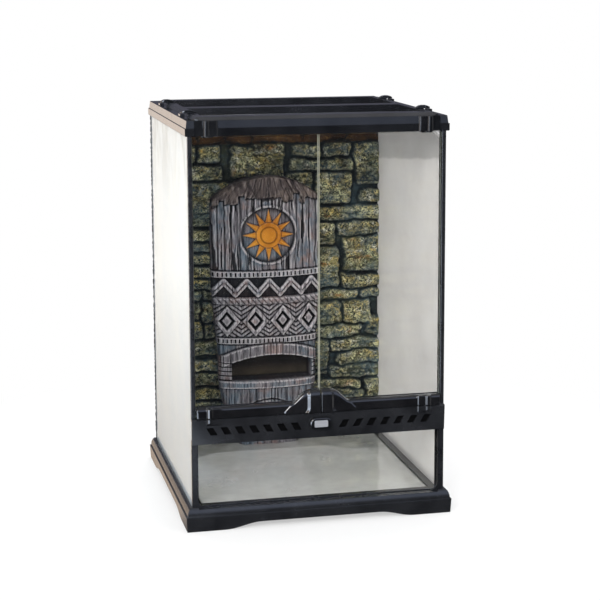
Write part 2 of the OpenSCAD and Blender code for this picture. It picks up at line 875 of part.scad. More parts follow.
// Cap bonded over the top edge of a door's glass, with the disc that turns in the top frame
module top_hinge_cap(s) {
  grip_x0 = hinge_x - cap_grip_w / 2;
  color("#15161a")
    mirror([s > 0 ? 0 : 1, 0, 0])
      difference() {
        union() {
          block([grip_x0, door_front_y - pane_gap - cap_wall, cap_z0],
            [grip_x0 + cap_grip_w, door_back_y + pane_gap + cap_wall, cap_z1]);
          translate([hinge_x, hinge_y, door_z1])
            cylinder(h = top_z0 + cap_h - door_z1, r = cap_r);
        }
        block([grip_x0 - 1, door_front_y - pane_gap, 0],
          [grip_x0 + cap_grip_w + 1, door_back_y + pane_gap, door_z1]);
        translate([hinge_x, hinge_y, door_z1 - 1])
          cylinder(h = far, d = pin_d + 2 * pin_gap);
      }
}

module hinge_pins(s) {
  color("#b8babd")
    mirror([s > 0 ? 0 : 1, 0, 0])
      translate([hinge_x, hinge_y, 0]) {
        translate([0, 0, rail_z0 - pin_reach])
          cylinder(h = pin_reach + pin_seat, d = pin_d);
        translate([0, 0, door_z1])
          cylinder(h = top_z0 + cap_h - door_z1 + pin_reach, d = pin_d);
      }
}

module latch_knob() {
  front = front_y - knob_proud;
  r = knob_h / 2;
  color("#101114")
    difference() {
      intersection() {
        translate([0, (front + knob_back_y) / 2, latch_z])
          along_y(knob_back_y - front) {
            translate([-knob_l / 2 + r, -r])
              square([knob_l - knob_h, knob_h]);
            for (s = [-1, 1])
              translate([s * (knob_l / 2 - r), 0])
                circle(r);
          }
        translate([0, front + knob_crown_r, 0])
          cylinder(h = far, r = knob_crown_r, $fn = 96);
      }
      translate([0, knob_back_y, latch_z])
        rotate([90, 0, 0])
          cylinder(h = 4, d = shaft_d + 2 * pin_gap, center = true);
    }
}

module latch_shaft() {
  color("#26272b") {
    translate([0, cam_y0 + eps, latch_z])
      rotate([90, 0, 0])
        cylinder(h = cam_y0 + eps - knob_back_y + 2, d = shaft_d);
    translate([0, cam_y0 + cam_t / 2, latch_z])
      along_y(cam_t) {
        circle(cam_w / 2);
        translate([0, -cam_w / 2])
          square([cam_l - cam_w / 2, cam_w]);
        translate([cam_l - cam_w / 2, 0])
          circle(cam_w / 2);
      }
  }
}

module latch_ring() {
  color("#b8babd")
    translate([0, vent_wall_y + cap_gap + ring_t, latch_z])
      rotate([90, 0, 0])
        linear_extrude(height = ring_t)
          difference() {
            circle(d = ring_d);
            circle(d = shaft_d + 2 * pin_gap);
          }
}

// Section of the top frame whose panes stand at the given half width
module top_section(half) {
  band_z = top_z0 + top_band_h;
  band_x = half + top_over;
  step_x = band_x - top_step;
  polygon(both_sides([[band_x - edge_break, top_z0], [band_x, top_z0 + 2 * edge_break], [band_x, band_z],
    [step_x, band_z + edge_break], [step_x - top_taper, tank_h - edge_break],
    [step_x - top_taper - edge_break, tank_h]]));
}

// Fixed knuckle of a door hinge on the top frame
module top_knuckle() {
  back_y = lid_y0 - lid_gap;
  translate([0, 0, top_z0])
    linear_extrude(height = top_band_h)
      hinge_plan(back_y, 0);
  translate([0, 0, top_z0 + top_band_h - eps])
    linear_extrude(height = top_h - top_band_h - edge_break + eps)
      hinge_plan(back_y, -edge_break);
}

// Rebate, lips and slot for one cable gate, drawn for the right side
module cable_slot() {
  gate_x0 = slot_x - gate_lap;
  track_l = gate_l + cable_slot_l + gate_gap;
  y0 = cable_y - cable_slot_d / 2;
  y1 = cable_y + cable_slot_d / 2;
  block([slot_x, y0, 0], [slot_x + cable_slot_l, y1, far]);
  block([gate_x0 - gate_gap, y0, gate_z0 - gate_gap], [gate_x0 + track_l, y1, far]);
  block([gate_x0 - gate_gap, y0 - gate_lip_w, gate_z0 - gate_gap],
    [gate_x0 + track_l, y1 + gate_lip_w, gate_z1 + gate_gap]);
}

// Block on the top frame that a clip slides over
module clip_keeper(y) {
  wall = 0.9;
  overlap = 1;
  block([lid_x + lid_gap + wall, y - clip_r - overlap, tank_h - overlap],
    [half_w - edge_break, y + clip_r + overlap, tank_h + keeper_h]);
}

module top_frame() {
  color("#1b1c20")
    difference() {
      union() {
        intersection() {
          along_y(far)
            top_section(half_w);
          along_x(far)
            top_section(half_d);
        }
        for (s = [0, 1])
          mirror([s, 0, 0]) {
            top_knuckle();
            for (y = [lid_mid_y - clip_y, lid_mid_y + clip_y])
              clip_keeper(y);
          }
      }
      block([-lid_x - lid_gap, lid_y0 - lid_gap, lid_ledge_z], [lid_x + lid_gap, lid_y1 + lid_gap, far]);
      block([-lid_x + lid_ledge_w, lid_y0 + lid_ledge_w, 0], [lid_x - lid_ledge_w, lid_y1 - lid_ledge_w, far]);
      for (s = [0, 1])
        mirror([s, 0, 0])
          block([in_x - pane_gap, front_pane_y - pane_gap, 0],
            [half_w + pane_gap, half_d + pane_gap, pane_top_z]);
      block([-in_x, back_in_y - pane_gap, 0], [in_x, half_d + pane_gap, pane_top_z]);
      for (s = [0, 1])
        mirror([s, 0, 0]) {
          block([hinge_x + hinge_side_w, -far, 0],
            [half_w + top_over - corner_block_w, front_y - top_over + recess_t, far]);
          translate([hinge_x, hinge_y, 0]) {
            cylinder(h = top_z0 + cap_h + cap_gap, r = cap_r + cap_gap);
            cylinder(h = top_z0 + cap_h + pin_reach + edge_break, d = pin_d + 2 * pin_gap);
          }
          cable_slot();
        }
    }
}

module cable_gate(s) {
  x0 = slot_x - gate_lap;
  y0 = cable_y - cable_slot_d / 2;
  y1 = cable_y + cable_slot_d / 2;
  color("#26272b")
    mirror([s > 0 ? 0 : 1, 0, 0]) {
      block([x0, y0 - gate_lip_w + gate_gap, gate_z0], [x0 + gate_l, y1 + gate_lip_w - gate_gap, gate_z1]);
      for (x = [x0 + gate_lap, x0 + gate_lap + rib_pitch])
        block([x, y0 + gate_gap, gate_z1 - eps], [x + rib_w, y1 - gate_gap, gate_z1 + gate_grip_h]);
    }
}

// Outside of the lid: an upright edge that slopes in above the top frame
module lid_blank() {
  intersection() {
    translate([0, 0, lid_z0])
      linear_extrude(height = lid_h)
        round_rect([-lid_x, lid_y0], [lid_x, lid_y1], lid_r);
    along_y(far)
      polygon(both_sides([[lid_x, 0], [lid_x, tank_h], [lid_x - lid_slope_w, lid_z1]]));
    translate([0, lid_mid_y, 0])
      along_x(far)
        polygon(both_sides([[lid_len / 2, 0], [lid_len / 2, tank_h], [lid_len / 2 - lid_slope_w, lid_z1]]));
  }
}

// Hollow under one bar of the lid, between corners a and b
module lid_pocket(a, b) {
  block([a[0], a[1], 0], [b[0], b[1], pocket_top_z]);
}

module lid_frame() {
  pocket_x = lid_x - lid_wall;
  rail_pocket_x = lid_in_x + lid_wall;
  color("#1b1c20")
    difference() {
      lid_blank();
      block([-lid_in_x, bay_front_y0, 0], [lid_in_x, bay_front_y1, far]);
      block([-lid_in_x, bay_rear_y0, 0], [lid_in_x, bay_rear_y1, far]);
      lid_pocket([-lid_in_x, lid_y0 + lid_slope_w], [lid_in_x, bay_front_y0 - lid_wall]);
      lid_pocket([-lid_in_x, bay_front_y1 + lid_wall], [lid_in_x, bay_rear_y0 - lid_wall]);
      lid_pocket([-lid_in_x, bay_rear_y1 + lid_wall], [lid_in_x, lid_y1 - lid_slope_w]);
      for (s = [0, 1])
        mirror([s, 0, 0]) {
          lid_pocket([rail_pocket_x, lid_y0 + lid_r], [pocket_x, lid_y1 - lid_r]);
          for (y = [lid_mid_y - clip_y, lid_mid_y + clip_y])
            block([stem_out_x - stem_w - clip_travel - stem_gap, y - stem_l / 2 - stem_gap, lid_z0 + 1],
              [stem_out_x + stem_gap, y + stem_l / 2 + stem_gap, far]);
        }
      block([-lid_in_x - mesh_lap - pane_gap, bay_front_y0 - mesh_lap - pane_gap, 0],
        [lid_in_x + mesh_lap + pane_gap, bay_rear_y1 + mesh_lap + pane_gap, lid_z0 + mesh_t]);
    }
}

module lid_mesh() {
  color("#3a3b3c")
    translate([0, 0, lid_z0])
      linear_extrude(height = mesh_t)
        net([-lid_in_x - mesh_lap, bay_front_y0 - mesh_lap],
          [lid_in_x + mesh_lap, bay_rear_y1 + mesh_lap], lid_cols, lid_cols, lid_wire);
}

// Sliding clip over the seam between the lid and the top frame, drawn for the right side
module lid_clip(s, y) {
  z0 = lid_z1 + lid_gap;
  z1 = z0 + clip_h;
  x0 = clip_out_x - clip_l;
  bulb_x = clip_out_x - clip_r;
  tip_h = 0.8;
  foot_z = pocket_top_z - 2;
  color("#131417")
    mirror([s > 0 ? 0 : 1, 0, 0])
      translate([0, y, 0]) {
        intersection() {
          linear_extrude(height = far) {
            translate([bulb_x, 0])
              circle(clip_r);
            polygon([[x0, -clip_tip], [bulb_x, -clip_r], [bulb_x, clip_r], [x0, clip_tip]]);
          }
          along_y(far)
            polygon([[x0, z0], [x0, z0 + tip_h], [x0 + clip_l * 0.3, z1 - edge_break], [x0 + clip_l * 0.5, z1],
              [x0 + clip_l * 0.75, z1 - edge_break / 2], [clip_out_x, z0 + 2 * tip_h], [clip_out_x, z0]]);
        }
        block([stem_out_x - stem_w, -stem_l / 2, foot_z], [stem_out_x, stem_l / 2, z0 + eps]);
        block([stem_out_x - stem_w, -stem_l / 2 - stem_foot_w, foot_z],
          [stem_out_x, stem_l / 2 + stem_foot_w, pocket_top_z - stem_play]);
      }
}

// Outline of the carved panel, grown by a gap
module panel_outline(grow) {
  low_z = wall_z0 + panel_foot_h;
  side = [[panel_foot_w / 2, wall_z0], [panel_low_w / 2 - 4, low_z - 12], [panel_low_w / 2, low_z + 12],
    [panel_low_w / 2, hide_z + hide_mid_h], [panel_w / 2, zigzag_z], [panel_w / 2, far]];
  translate([panel_x, 0])
    intersection() {
      polygon(both_sides([for (p = side) p + [grow, 0]]));
      translate([0, panel_top_z - panel_top_r])
        union() {
          circle(panel_top_r + grow, $fn = 96);
          translate([-panel_w, -far])
            square([2 * panel_w, far]);
        }
    }
}

// One stone: a worn rectangle standing straight out of the backing, cut off by a tilted face
module stone(x0, x1, z0, z1, i, j) {
  w = x1 - x0 - joint_w;
  h = z1 - z0 - joint_w;
  c = 0.28 * h;
  d = stone_min + stone_spread * chance(i, j + 7);
  translate([(x0 + x1) / 2, wall_y0, (z0 + z1) / 2])
    intersection() {
      translate([0, stone_root, 0])
        rotate([90, 0, 0])
          linear_extrude(height = 2 * (stone_root + d))
            polygon([[-w / 2 + c, -h / 2], [w / 2 - c * 1.4, -h / 2], [w / 2, -h / 2 + c],
              [w / 2, h / 2 - c * 0.8], [w / 2 - c, h / 2], [-w / 2 + c * 0.8, h / 2],
              [-w / 2, h / 2 - c * 1.2], [-w / 2, -h / 2 + c * 0.7]]);
      translate([0, -d, 0])
        rotate([stone_tilt * (chance(i + 3, j) - 0.5) * 2, 0, stone_tilt * (chance(i, j + 3) - 0.5)])
          block([-w, 0, -h], [w, 3 * d, h]);
    }
}

// Unevenness of the bottom of a course: none at the floor and under the plain band
function wave(j) = j == 0 || j == course_count ? 0 : course_wave * (chance(j, 5) - 0.5);

// Height of the bottom of a course
function course_z(j) = wall_z0 + course_h * (j + wave(j));

// One course of stones, from one side pane to the other
module course(j) {
  shift = stone_l * (chance(j, 1) - 1) * 0.8;
  count = ceil(2 * wall_x / stone_l) + 1;
  cut = [for (i = [0 : count]) -wall_x + shift + stone_l * (i + 0.5 * (chance(i, j) - 0.5))];
  for (i = [0 : count - 1])
    if (min(cut[i + 1], wall_x) - max(cut[i], -wall_x) > stone_l / 4)
      stone(max(cut[i], -wall_x), min(cut[i + 1], wall_x), course_z(j), course_z(j + 1), i, j);
}

module rock_background() {
  corner = seam_leg + seam_t + wall_gap;
  color("#5b5f46")
    difference() {
      union() {
        translate([0, 0, wall_z0])
          linear_extrude(height = wall_top_z - wall_z0)
            polygon(both_sides([[wall_x, wall_y0], [wall_x, wall_y1 - corner], [wall_x - corner, wall_y1]]));
        block([-wall_x, wall_y0 - stone_min, stone_top_z], [wall_x, wall_y0 + 1, wall_top_z - 2]);
        intersection() {
          union()
            for (j = [0 : course_count - 1])
              course(j);
          block([-wall_x, wall_y0 - 2 * (stone_min + stone_spread), wall_z0],
            [wall_x, wall_y1, stone_top_z - joint_w / 2]);
        }
      }
      translate([0, wall_y0 - far / 2, 0])
        along_y(far)
          panel_outline(panel_gap);
      difference() {
        block([-far, -far, 0], [far, far, lip_top_z + wall_gap]);
        block([-lip_in_x + wall_gap, -far, 0], [lip_in_x - wall_gap, lip_back_y - wall_gap, far]);
      }
    }
}

// The panel's blank: its outline cut out of an upright round log
module panel_blank(r) {
  intersection() {
    translate([0, wall_y0 - panel_t, 0])
      along_y(2 * panel_t)
        panel_outline(0);
    translate([panel_x, panel_axis_y, 0])
      cylinder(h = far, r = r, $fn = 180);
  }
}

// The panel's skin from its crown down by a depth, between two heights
module panel_band(z0, z1, r) {
  intersection() {
    panel_blank(r);
    block([-far, -far, z0], [far, far, z1]);
  }
}

// Outline of the mouth of the hide, with an arched top
module hide_outline() {
  sag = hide_mid_h - hide_side_h;
  r = (pow(hide_w / 2, 2) + pow(sag, 2)) / (2 * sag);
  translate([panel_x + hide_shift, hide_z])
    intersection() {
      translate([-hide_w / 2, 0])
        square([hide_w, hide_mid_h]);
      translate([0, hide_mid_h - r])
        circle(r, $fn = 120);
    }
}

// Outline of the sun rosette
module sun_outline() {
  ray_w = 6;
  circle(sun_r);
  for (k = [0 : sun_rays - 1])
    rotate(k * 360 / sun_rays)
      translate([sun_r - 1, 0])
        polygon([[0, -ray_w / 2], [sun_ray_r - sun_r + 1, 0], [0, ray_w / 2]]);
}

// Outline of the zigzag band
module zigzag_outline() {
  pitch = panel_w / zigzag_count;
  arm = 3;
  for (k = [0 : zigzag_count - 1])
    translate([-panel_w / 2 + pitch * k, 0])
      polygon([[0, -zigzag_h / 2], [pitch / 2, zigzag_h / 2 - arm], [pitch, -zigzag_h / 2],
        [pitch, -zigzag_h / 2 + arm], [pitch / 2, zigzag_h / 2], [0, -zigzag_h / 2 + arm]]);
}

// Outline of the row of diamonds
module lattice_outline() {
  pitch = panel_w / lattice_count;
  lattice_fill = 0.38;
  for (k = [0 : lattice_count - 1])
    translate([-panel_w / 2 + pitch * (k + 0.5), 0])
      polygon([[-pitch * lattice_fill, 0], [0, -lattice_h / 2], [pitch * lattice_fill, 0], [0, lattice_h / 2]]);
}

// Upright grooves between two heights, right across the panel
module upright_grooves(z0, z1) {
  count = floor(panel_w / 2 / groove_pitch);
  for (k = [-count : count])
    translate([k * groove_pitch, 0])
      translate([-groove_w / 2, z0])
        square([groove_w, z1 - z0]);
}

// Carves an outline into the panel's skin to the depth of the grooves
module carve(r) {
  intersection() {
    translate([panel_x, panel_axis_y - panel_crown_r, 0])
      along_y(panel_t)
        children();
    difference() {
      translate([panel_x, panel_axis_y, -1])
        cylinder(h = far, r = r + 20, $fn = 180);
      translate([panel_x, panel_axis_y, -2])
        cylinder(h = far + 2, r = r - groove_t, $fn = 180);
    }
  }
}

module carved_panel() {
  r = panel_crown_r - relief_t;
  hide_top = hide_z + hide_mid_h;
  band_over_zigzag_z = zigzag_z + zigzag_h / 2 + band_gap;
  band_under_zigzag_z = zigzag_z - zigzag_h / 2 - band_gap - band_w;
  band_under_lattice_z = lattice_z - lattice_h / 2 - band_gap - band_w;
  color("#8d8b92")
    difference() {
      union() {
        panel_blank(r);
        for (z = [band_over_zigzag_z, band_under_zigzag_z, band_under_lattice_z, hide_z - band_w - 1])
          panel_band(z, z + band_w, panel_crown_r);
        intersection() {
          panel_blank(panel_crown_r);
          translate([panel_x, 0, 0])
            union() {
              translate([0, 0, sun_z])
                along_y(far)
                  sun_outline();
              translate([0, 0, zigzag_z])
                along_y(far)
                  zigzag_outline();
              translate([0, 0, lattice_z])
                along_y(far)
                  lattice_outline();
            }
        }
      }
      carve(r)
        upright_grooves(wall_z0, hide_z - band_w - band_gap);
      carve(r)
        difference() {
          upright_grooves(band_over_zigzag_z + band_w + band_gap, panel_top_z - band_w);
          translate([0, sun_z])
            circle(sun_ray_r + 4);
        }
      carve(r)
        upright_grooves(hide_top + band_gap, band_under_lattice_z - band_gap);
      translate([0, panel_y0 + (panel_t - hide_back_t) / 2 - 10, 0])
        along_y(panel_t - hide_back_t + 20)
          hide_outline();
    }
}

base_frame();
floor_glass();
side_glass(-1);  // left_glass
side_glass(1);  // right_glass
back_glass();
front_lower_glass();
silicone_seams();
front_window_trim();
edge_trim(-1);  // left_edge_trim
edge_trim(1);  // right_edge_trim
vent_strip();
vent_mesh();
top_frame();
rock_background();
carved_panel();
door_glass(-1);  // left_door_glass
door_rail(-1);  // left_door_rail
top_hinge_cap(-1);  // left_top_hinge_cap
hinge_pins(-1);  // left_hinge_pins
door_glass(1);  // right_door_glass
door_rail(1);  // right_door_rail
top_hinge_cap(1);  // right_top_hinge_cap
hinge_pins(1);  // right_hinge_pins
latch_knob();
latch_shaft();
latch_ring();
lid_frame();
lid_mesh();
lid_clip(-1, lid_mid_y - clip_y);  // front_left_clip
lid_clip(1, lid_mid_y - clip_y);  // front_right_clip
lid_clip(-1, lid_mid_y + clip_y);  // rear_left_clip
lid_clip(1, lid_mid_y + clip_y);  // rear_right_clip
cable_gate(-1);  // left_cable_gate
cable_gate(1);  // right_cable_gate
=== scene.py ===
import json
import math

import bmesh
import bpy
import numpy as np
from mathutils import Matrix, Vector

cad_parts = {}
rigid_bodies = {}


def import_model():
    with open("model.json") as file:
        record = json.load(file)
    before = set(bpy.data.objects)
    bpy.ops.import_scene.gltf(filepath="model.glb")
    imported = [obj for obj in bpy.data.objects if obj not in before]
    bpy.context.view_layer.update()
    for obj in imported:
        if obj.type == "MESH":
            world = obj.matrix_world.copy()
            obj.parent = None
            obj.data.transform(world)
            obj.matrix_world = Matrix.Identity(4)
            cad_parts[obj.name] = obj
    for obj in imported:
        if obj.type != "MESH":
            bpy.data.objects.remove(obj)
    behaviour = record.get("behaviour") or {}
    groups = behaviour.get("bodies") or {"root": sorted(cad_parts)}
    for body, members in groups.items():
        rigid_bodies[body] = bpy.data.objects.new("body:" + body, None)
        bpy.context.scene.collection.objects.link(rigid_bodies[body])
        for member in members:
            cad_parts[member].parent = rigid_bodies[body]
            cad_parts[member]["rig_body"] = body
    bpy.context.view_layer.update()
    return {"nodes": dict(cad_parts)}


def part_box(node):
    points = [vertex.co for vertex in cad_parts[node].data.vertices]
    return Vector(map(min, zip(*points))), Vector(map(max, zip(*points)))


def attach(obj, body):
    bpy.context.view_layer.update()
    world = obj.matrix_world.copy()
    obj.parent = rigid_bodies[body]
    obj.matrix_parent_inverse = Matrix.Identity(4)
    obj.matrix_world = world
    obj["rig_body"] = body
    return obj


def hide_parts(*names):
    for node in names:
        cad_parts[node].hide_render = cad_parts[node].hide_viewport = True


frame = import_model()

MM = 0.001
NODES = frame["nodes"]
BODY_OF = {n: o["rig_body"] for n, o in NODES.items()}


# Small tools

def srgb(r, g, b):
    """A colour given in 0 to 255 display values, as linear values."""
    def lin(v):
        v /= 255.0
        return v / 12.92 if v <= 0.04045 else ((v + 0.055) / 1.055) ** 2.4
    return (lin(r), lin(g), lin(b), 1.0)


def times_color(color, factor, lift=0.0):
    return tuple(min(1.0, factor * c + lift) for c in color[:3]) + (1.0,)


def box_mm(node):
    """The low and the high corner of a CAD node's box, in millimetres."""
    return [[round(v / MM, 4) for v in corner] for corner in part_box(node)]


def smooth(a, b, x):
    t = np.clip((x - a) / (b - a), 0.0, 1.0)
    return t * t * (3 - 2 * t)


def bell(x, width):
    return np.exp(-(x / width) ** 2)


def lattice_noise(x, y, size_x, size_y, seed, cells=128):
    """Smooth noise from 0 to 1 on a seeded lattice of the given cell size."""
    table = np.random.RandomState(seed).rand(cells, cells)
    u = x / size_x + 40.0
    v = y / size_y + 40.0
    i = np.floor(u).astype(int)
    j = np.floor(v).astype(int)
    fu = smooth(0, 1, u - i)
    fv = smooth(0, 1, v - j)

    def row(j):
        return table[i % cells, j % cells] * (1 - fu) + table[(i + 1) % cells, j % cells] * fu

    return row(j) * (1 - fv) + row(j + 1) * fv


def fbm(x, y, size_x, size_y, seed, octaves=4):
    """Noise from 0 to 1 whose octaves halve in size and in weight."""
    total = np.zeros_like(x, dtype=float)
    weight = 1.0
    norm = 0.0
    for k in range(octaves):
        total += weight * lattice_noise(x, y, size_x / 2 ** k, size_y / 2 ** k, seed + 11 * k)
        norm += weight
        weight *= 0.5
    return total / norm


def link_object(data, name):
    obj = bpy.data.objects.new(name, data)
    bpy.context.scene.collection.objects.link(obj)
    return obj


def mesh_from(name, verts, faces, outward=True):
    """A smooth shaded mesh. Where it is closed, its faces are turned outwards."""
    mesh = bpy.data.meshes.new(name)
    mesh.from_pydata(verts, [], faces)
    mesh.update()
    mesh.polygons.foreach_set("use_smooth", np.ones(len(mesh.polygons), bool))
    if outward:
        bm = bmesh.new()
        bm.from_mesh(mesh)
        bmesh.ops.recalc_face_normals(bm, faces=bm.faces)
        bm.to_mesh(mesh)
        bm.free()
    return mesh


def place(obj, node, replaces=True):
    """Lets a piece move with a CAD node's body, in the node's stead unless it is added to it."""
    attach(obj, BODY_OF[node])
    if replaces:
        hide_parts(node)


def piece(mesh, name, material, node, replaces=True):
    mesh.materials.append(material)
    place(link_object(mesh, name), node, replaces)


# Materials

class Mat:
    """The nodes of a material, or of another owner, under construction."""

    def __init__(self, name, owner=None):
        self.owner = owner or bpy.data.materials.new(name)
        self.owner.use_nodes = True
        self.tree = self.owner.node_tree
        self.tree.nodes.clear()

    def add(self, kind, inputs=None, **props):
        node = self.tree.nodes.new("ShaderNode" + kind)
        for key, value in props.items():
            setattr(node, key, value)
        for key, value in (inputs or {}).items():
            socket = node.inputs[key]
            if isinstance(value, bpy.types.NodeSocket):
                self.tree.links.new(value, socket)
            else:
                socket.default_value = value
        return node

    def out(self, kind, inputs=None, output=0, **props):
        """One output of a new node."""
        return self.add(kind, inputs, **props).outputs[output]

    def coords(self, output="Object"):
        return self.out("TexCoord", output=output)

    def axes(self, output="Object"):
        return self.add("SeparateXYZ", {"Vector": self.coords(output)}).outputs

    def scaled(self, scale):
        return self.out("VectorMath", {0: self.coords(), 1: scale}, operation="MULTIPLY")

    def noise(self, scale, detail=3.0, rough=0.55, distortion=0.0, stretch=None):
        return self.out("TexNoise", {
            "Vector": self.scaled(stretch) if stretch else self.coords(), "Scale": scale, "Detail": detail,
            "Roughness": rough, "Distortion": distortion}, "Fac")

    def math(self, operation, a, b=0.0, clamp=False):
        return self.out("Math", {0: a, 1: b}, operation=operation, use_clamp=clamp)

    def times(self, a, b, clamp=False):
        return self.math("MULTIPLY", a, b, clamp)

    def plus(self, a, b, clamp=False):
        return self.math("ADD", a, b, clamp)

    def minus(self, a, b):
        return self.math("SUBTRACT", a, b)

    def size(self, a):
        return self.math("ABSOLUTE", a)

    def span(self, value, low, high, to_low=0.0, to_high=1.0):
        return self.out("MapRange", {"Value": value, "From Min": low, "From Max": high,
                                     "To Min": to_low, "To Max": to_high}, "Result")

    def mix(self, factor, a, b):
        return self.out("Mix", {0: factor, 6: a, 7: b}, 2, data_type="RGBA")

    def shade(self, value, low, high, a, b):
        """From a to b as a value runs from low to high."""
        return self.mix(self.span(value, low, high), a, b)

    def attributes(self, *names):
        return [self.out("Attribute", None, "Fac", attribute_name=name) for name in names]

    def bump(self, height, distance):
        return self.out("Bump", {"Height": height, "Distance": distance, "Strength": 1.0})

    def principled(self, **inputs):
        names = {"color": "Base Color", "rough": "Roughness", "metal": "Metallic", "normal": "Normal",
                 "specular": "Specular IOR Level", "coat": "Coat Weight", "coat_rough": "Coat Roughness"}
        return self.out("BsdfPrincipled", {names[k]: v for k, v in inputs.items()})

    def mix_shader(self, factor, a, b):
        return self.out("MixShader", {0: factor, 1: a, 2: b})

    def clear(self, tint):
        return self.out("BsdfTransparent", {"Color": tint})

    def glass(self):
        """How strongly glass mirrors by angle, and 1 on the outer side of its faces."""
        back = self.out("NewGeometry", None, "Backfacing")
        return self.out("Fresnel", {"IOR": 1.45}), self.minus(1.0, back)

    def done(self, shader, output="OutputMaterial"):
        self.add(output, {"Surface": shader})
        return self.owner


def plastic(name, tone, rough_low, rough_high, grain=0.00003, coat=0.0):
    """Moulded plastic: faint blotches in colour and gloss, and a fine orange-peel grain."""
    m = Mat(name + "_plastic")
    color = srgb(*tone)
    blotch = m.noise(26.0, 4.0, 0.6)
    fine = m.noise(1400.0, 2.0, 0.5)
    return m.done(m.principled(
        color=m.shade(blotch, 0.35, 0.65, times_color(color, 0.72), times_color(color, 1.35, 0.002)),
        rough=m.span(m.noise(60.0, 5.0, 0.65), 0.35, 0.68, rough_low, rough_high),
        normal=m.bump(fine, grain), coat=coat, coat_rough=0.06))


def clear_pane(name, tint, haze, edge, edge_axis=(0, 1, 0), haze_color=(0.85, 0.86, 0.83, 1.0),
               mirror_rough=0.02, outer_edge=None):
    """A glass pane: mirror-like reflection from its outer faces, a thin veil of dust, and light cut edges.
    edge_axis is the pane's own thickness direction, whose faces are the two large ones. outer_edge is the
    colour of the cut edges out by the frame, where they differ."""
    m = Mat(name)
    fresnel, outer = m.glass()
    single = m.times(fresnel, outer)
    double = m.math("DIVIDE", m.times(single, 2.0), m.plus(single, 1.0))
    mirror = m.principled(color=(1, 1, 1, 1), metal=1.0, rough=mirror_rough)
    dust = m.principled(color=haze_color, rough=0.6, specular=0.2)
    veil = m.span(m.noise(13.0, 5.0, 0.6, 0.3), 0.35, 0.65, haze * 0.72, haze * 1.24)
    body = m.mix_shader(m.times(veil, outer), m.clear(tint), dust)
    body = m.mix_shader(double, body, mirror)
    facing = m.out("VectorMath", {0: m.coords("Normal"), 1: edge_axis}, "Value", operation="DOT_PRODUCT")
    rim = m.times(m.math("LESS_THAN", m.size(facing), 0.5), 0.8)
    grind = m.noise(700.0, 3.0, 0.6)
    worn_edge = times_color(edge, 0.8)
    if outer_edge:
        edge = m.shade(m.size(m.axes()["X"]), 0.09, 0.10, edge, outer_edge)
        worn_edge = m.mix(0.2, edge, (0, 0, 0, 1))
    cut = m.principled(color=m.shade(grind, 0.3, 0.7, edge, worn_edge), rough=0.3, specular=0.6)
    return m.done(m.mix_shader(rim, body, cut))


# The film of the side panes, in metres: how high the lower edge of its top band of painted shade lies and
# how steeply it falls to the rear, how far forward and how high the edge of its clear corner starts, and how
# steeply that rises to the rear
FILM_BAND_Z = 0.404
FILM_BAND_FALL = 0.105
FILM_CORNER_Y = 0.146
FILM_CORNER_Z = 0.439
FILM_CORNER_RISE = 0.19


def milky_pane(name, low, high, mirror_tint, band, foot):
    """A side pane with a thin white film: cloudy, with faint fibres. Where band is above 0 the film
    has a grey top band of painted shade whose edge falls to the rear, and a clear corner at the front.
    Otherwise it is faintly mottled at the top. Foot is how much it darkens towards the base."""
    m = Mat(name)
    _, y, z = m.axes()
    fibres = m.noise(1.0, 5.0, 0.7, 1.5, (40.0, 40.0, 260.0))
    white = m.shade(m.noise(14.0, 6.0, 0.62), 0.3, 0.7, low, high)
    white = m.mix(m.span(fibres, 0.45, 0.75, 0.0, 0.5), white, times_color(high, 1.06))
    white = m.mix(m.span(z, 0.05, 0.26, foot, 0.0), white, (0.2, 0.2, 0.2, 1))
    ragged = m.plus(m.plus(z, m.times(y, FILM_BAND_FALL)),
                    m.span(m.noise(30.0, 4.0), 0.3, 0.7, -0.0015, 0.0015))
    # the grey top band of painted shade, its edge falling to the rear; band sets how dark it is
    white = m.mix(m.span(ragged, FILM_BAND_Z, FILM_BAND_Z + 0.003, 0.0, band), white, (0, 0, 0, 1))
    if band <= 0:
        mottle = m.span(m.noise(22.0, 5.0, 0.6, 0.8, (1.0, 1.0, 0.5)), 0.42, 0.60, 0.0, 0.30)
        white = m.mix(m.times(mottle, m.span(z, 0.36, 0.44)), white, (0, 0, 0, 1))
    through = m.out("BsdfTranslucent", {"Color": white})
    film = m.mix_shader(0.35, m.principled(color=white, rough=0.5, specular=0.0), through)
    corner = m.minus(m.minus(z, FILM_CORNER_Z), m.times(m.plus(y, FILM_CORNER_Y), FILM_CORNER_RISE))
    held = m.span(corner, 0.0, 0.003, 0.88, 0.88 if band <= 0 else 0.2)
    body = m.mix_shader(held, m.clear((0.97, 0.97, 0.97, 1)), film)
    fresnel, outer = m.glass()
    mirror = m.principled(color=mirror_tint, metal=1.0, rough=0.03)
    return m.done(m.mix_shader(m.times(fresnel, outer), body, mirror))


def brushed_steel(name, color=srgb(190, 191, 193), metal=1.0, rough_low=0.2, rough_high=0.4):
    m = Mat(name)
    lines = m.noise(1.0, 3.0, 0.5, 0.0, (120.0, 900.0, 2400.0))
    return m.done(m.principled(color=m.shade(lines, 0.3, 0.7, color, times_color(color, 0.82)), metal=metal,
                               rough=m.span(lines, 0.3, 0.7, rough_low, rough_high)))


def sealant(name):
    """Black silicone: satin, with a slightly uneven wiped surface."""
    m = Mat(name)
    wiped = m.noise(1.0, 3.0, 0.5, 0.4, (500.0, 500.0, 60.0))
    return m.done(m.principled(color=m.mix(wiped, srgb(16, 16, 17), srgb(30, 31, 32)), specular=0.25,
                               rough=m.span(wiped, 0.3, 0.7, 0.3, 0.5), normal=m.bump(wiped, 0.0002)))


def wire(name, color, rough=0.4, specular=0.6):
    m = Mat(name)
    spots = m.noise(400.0, 2.0)
    return m.done(m.principled(color=m.shade(spots, 0.3, 0.7, color, times_color(color, 1.5)),
                               rough=rough, specular=specular))


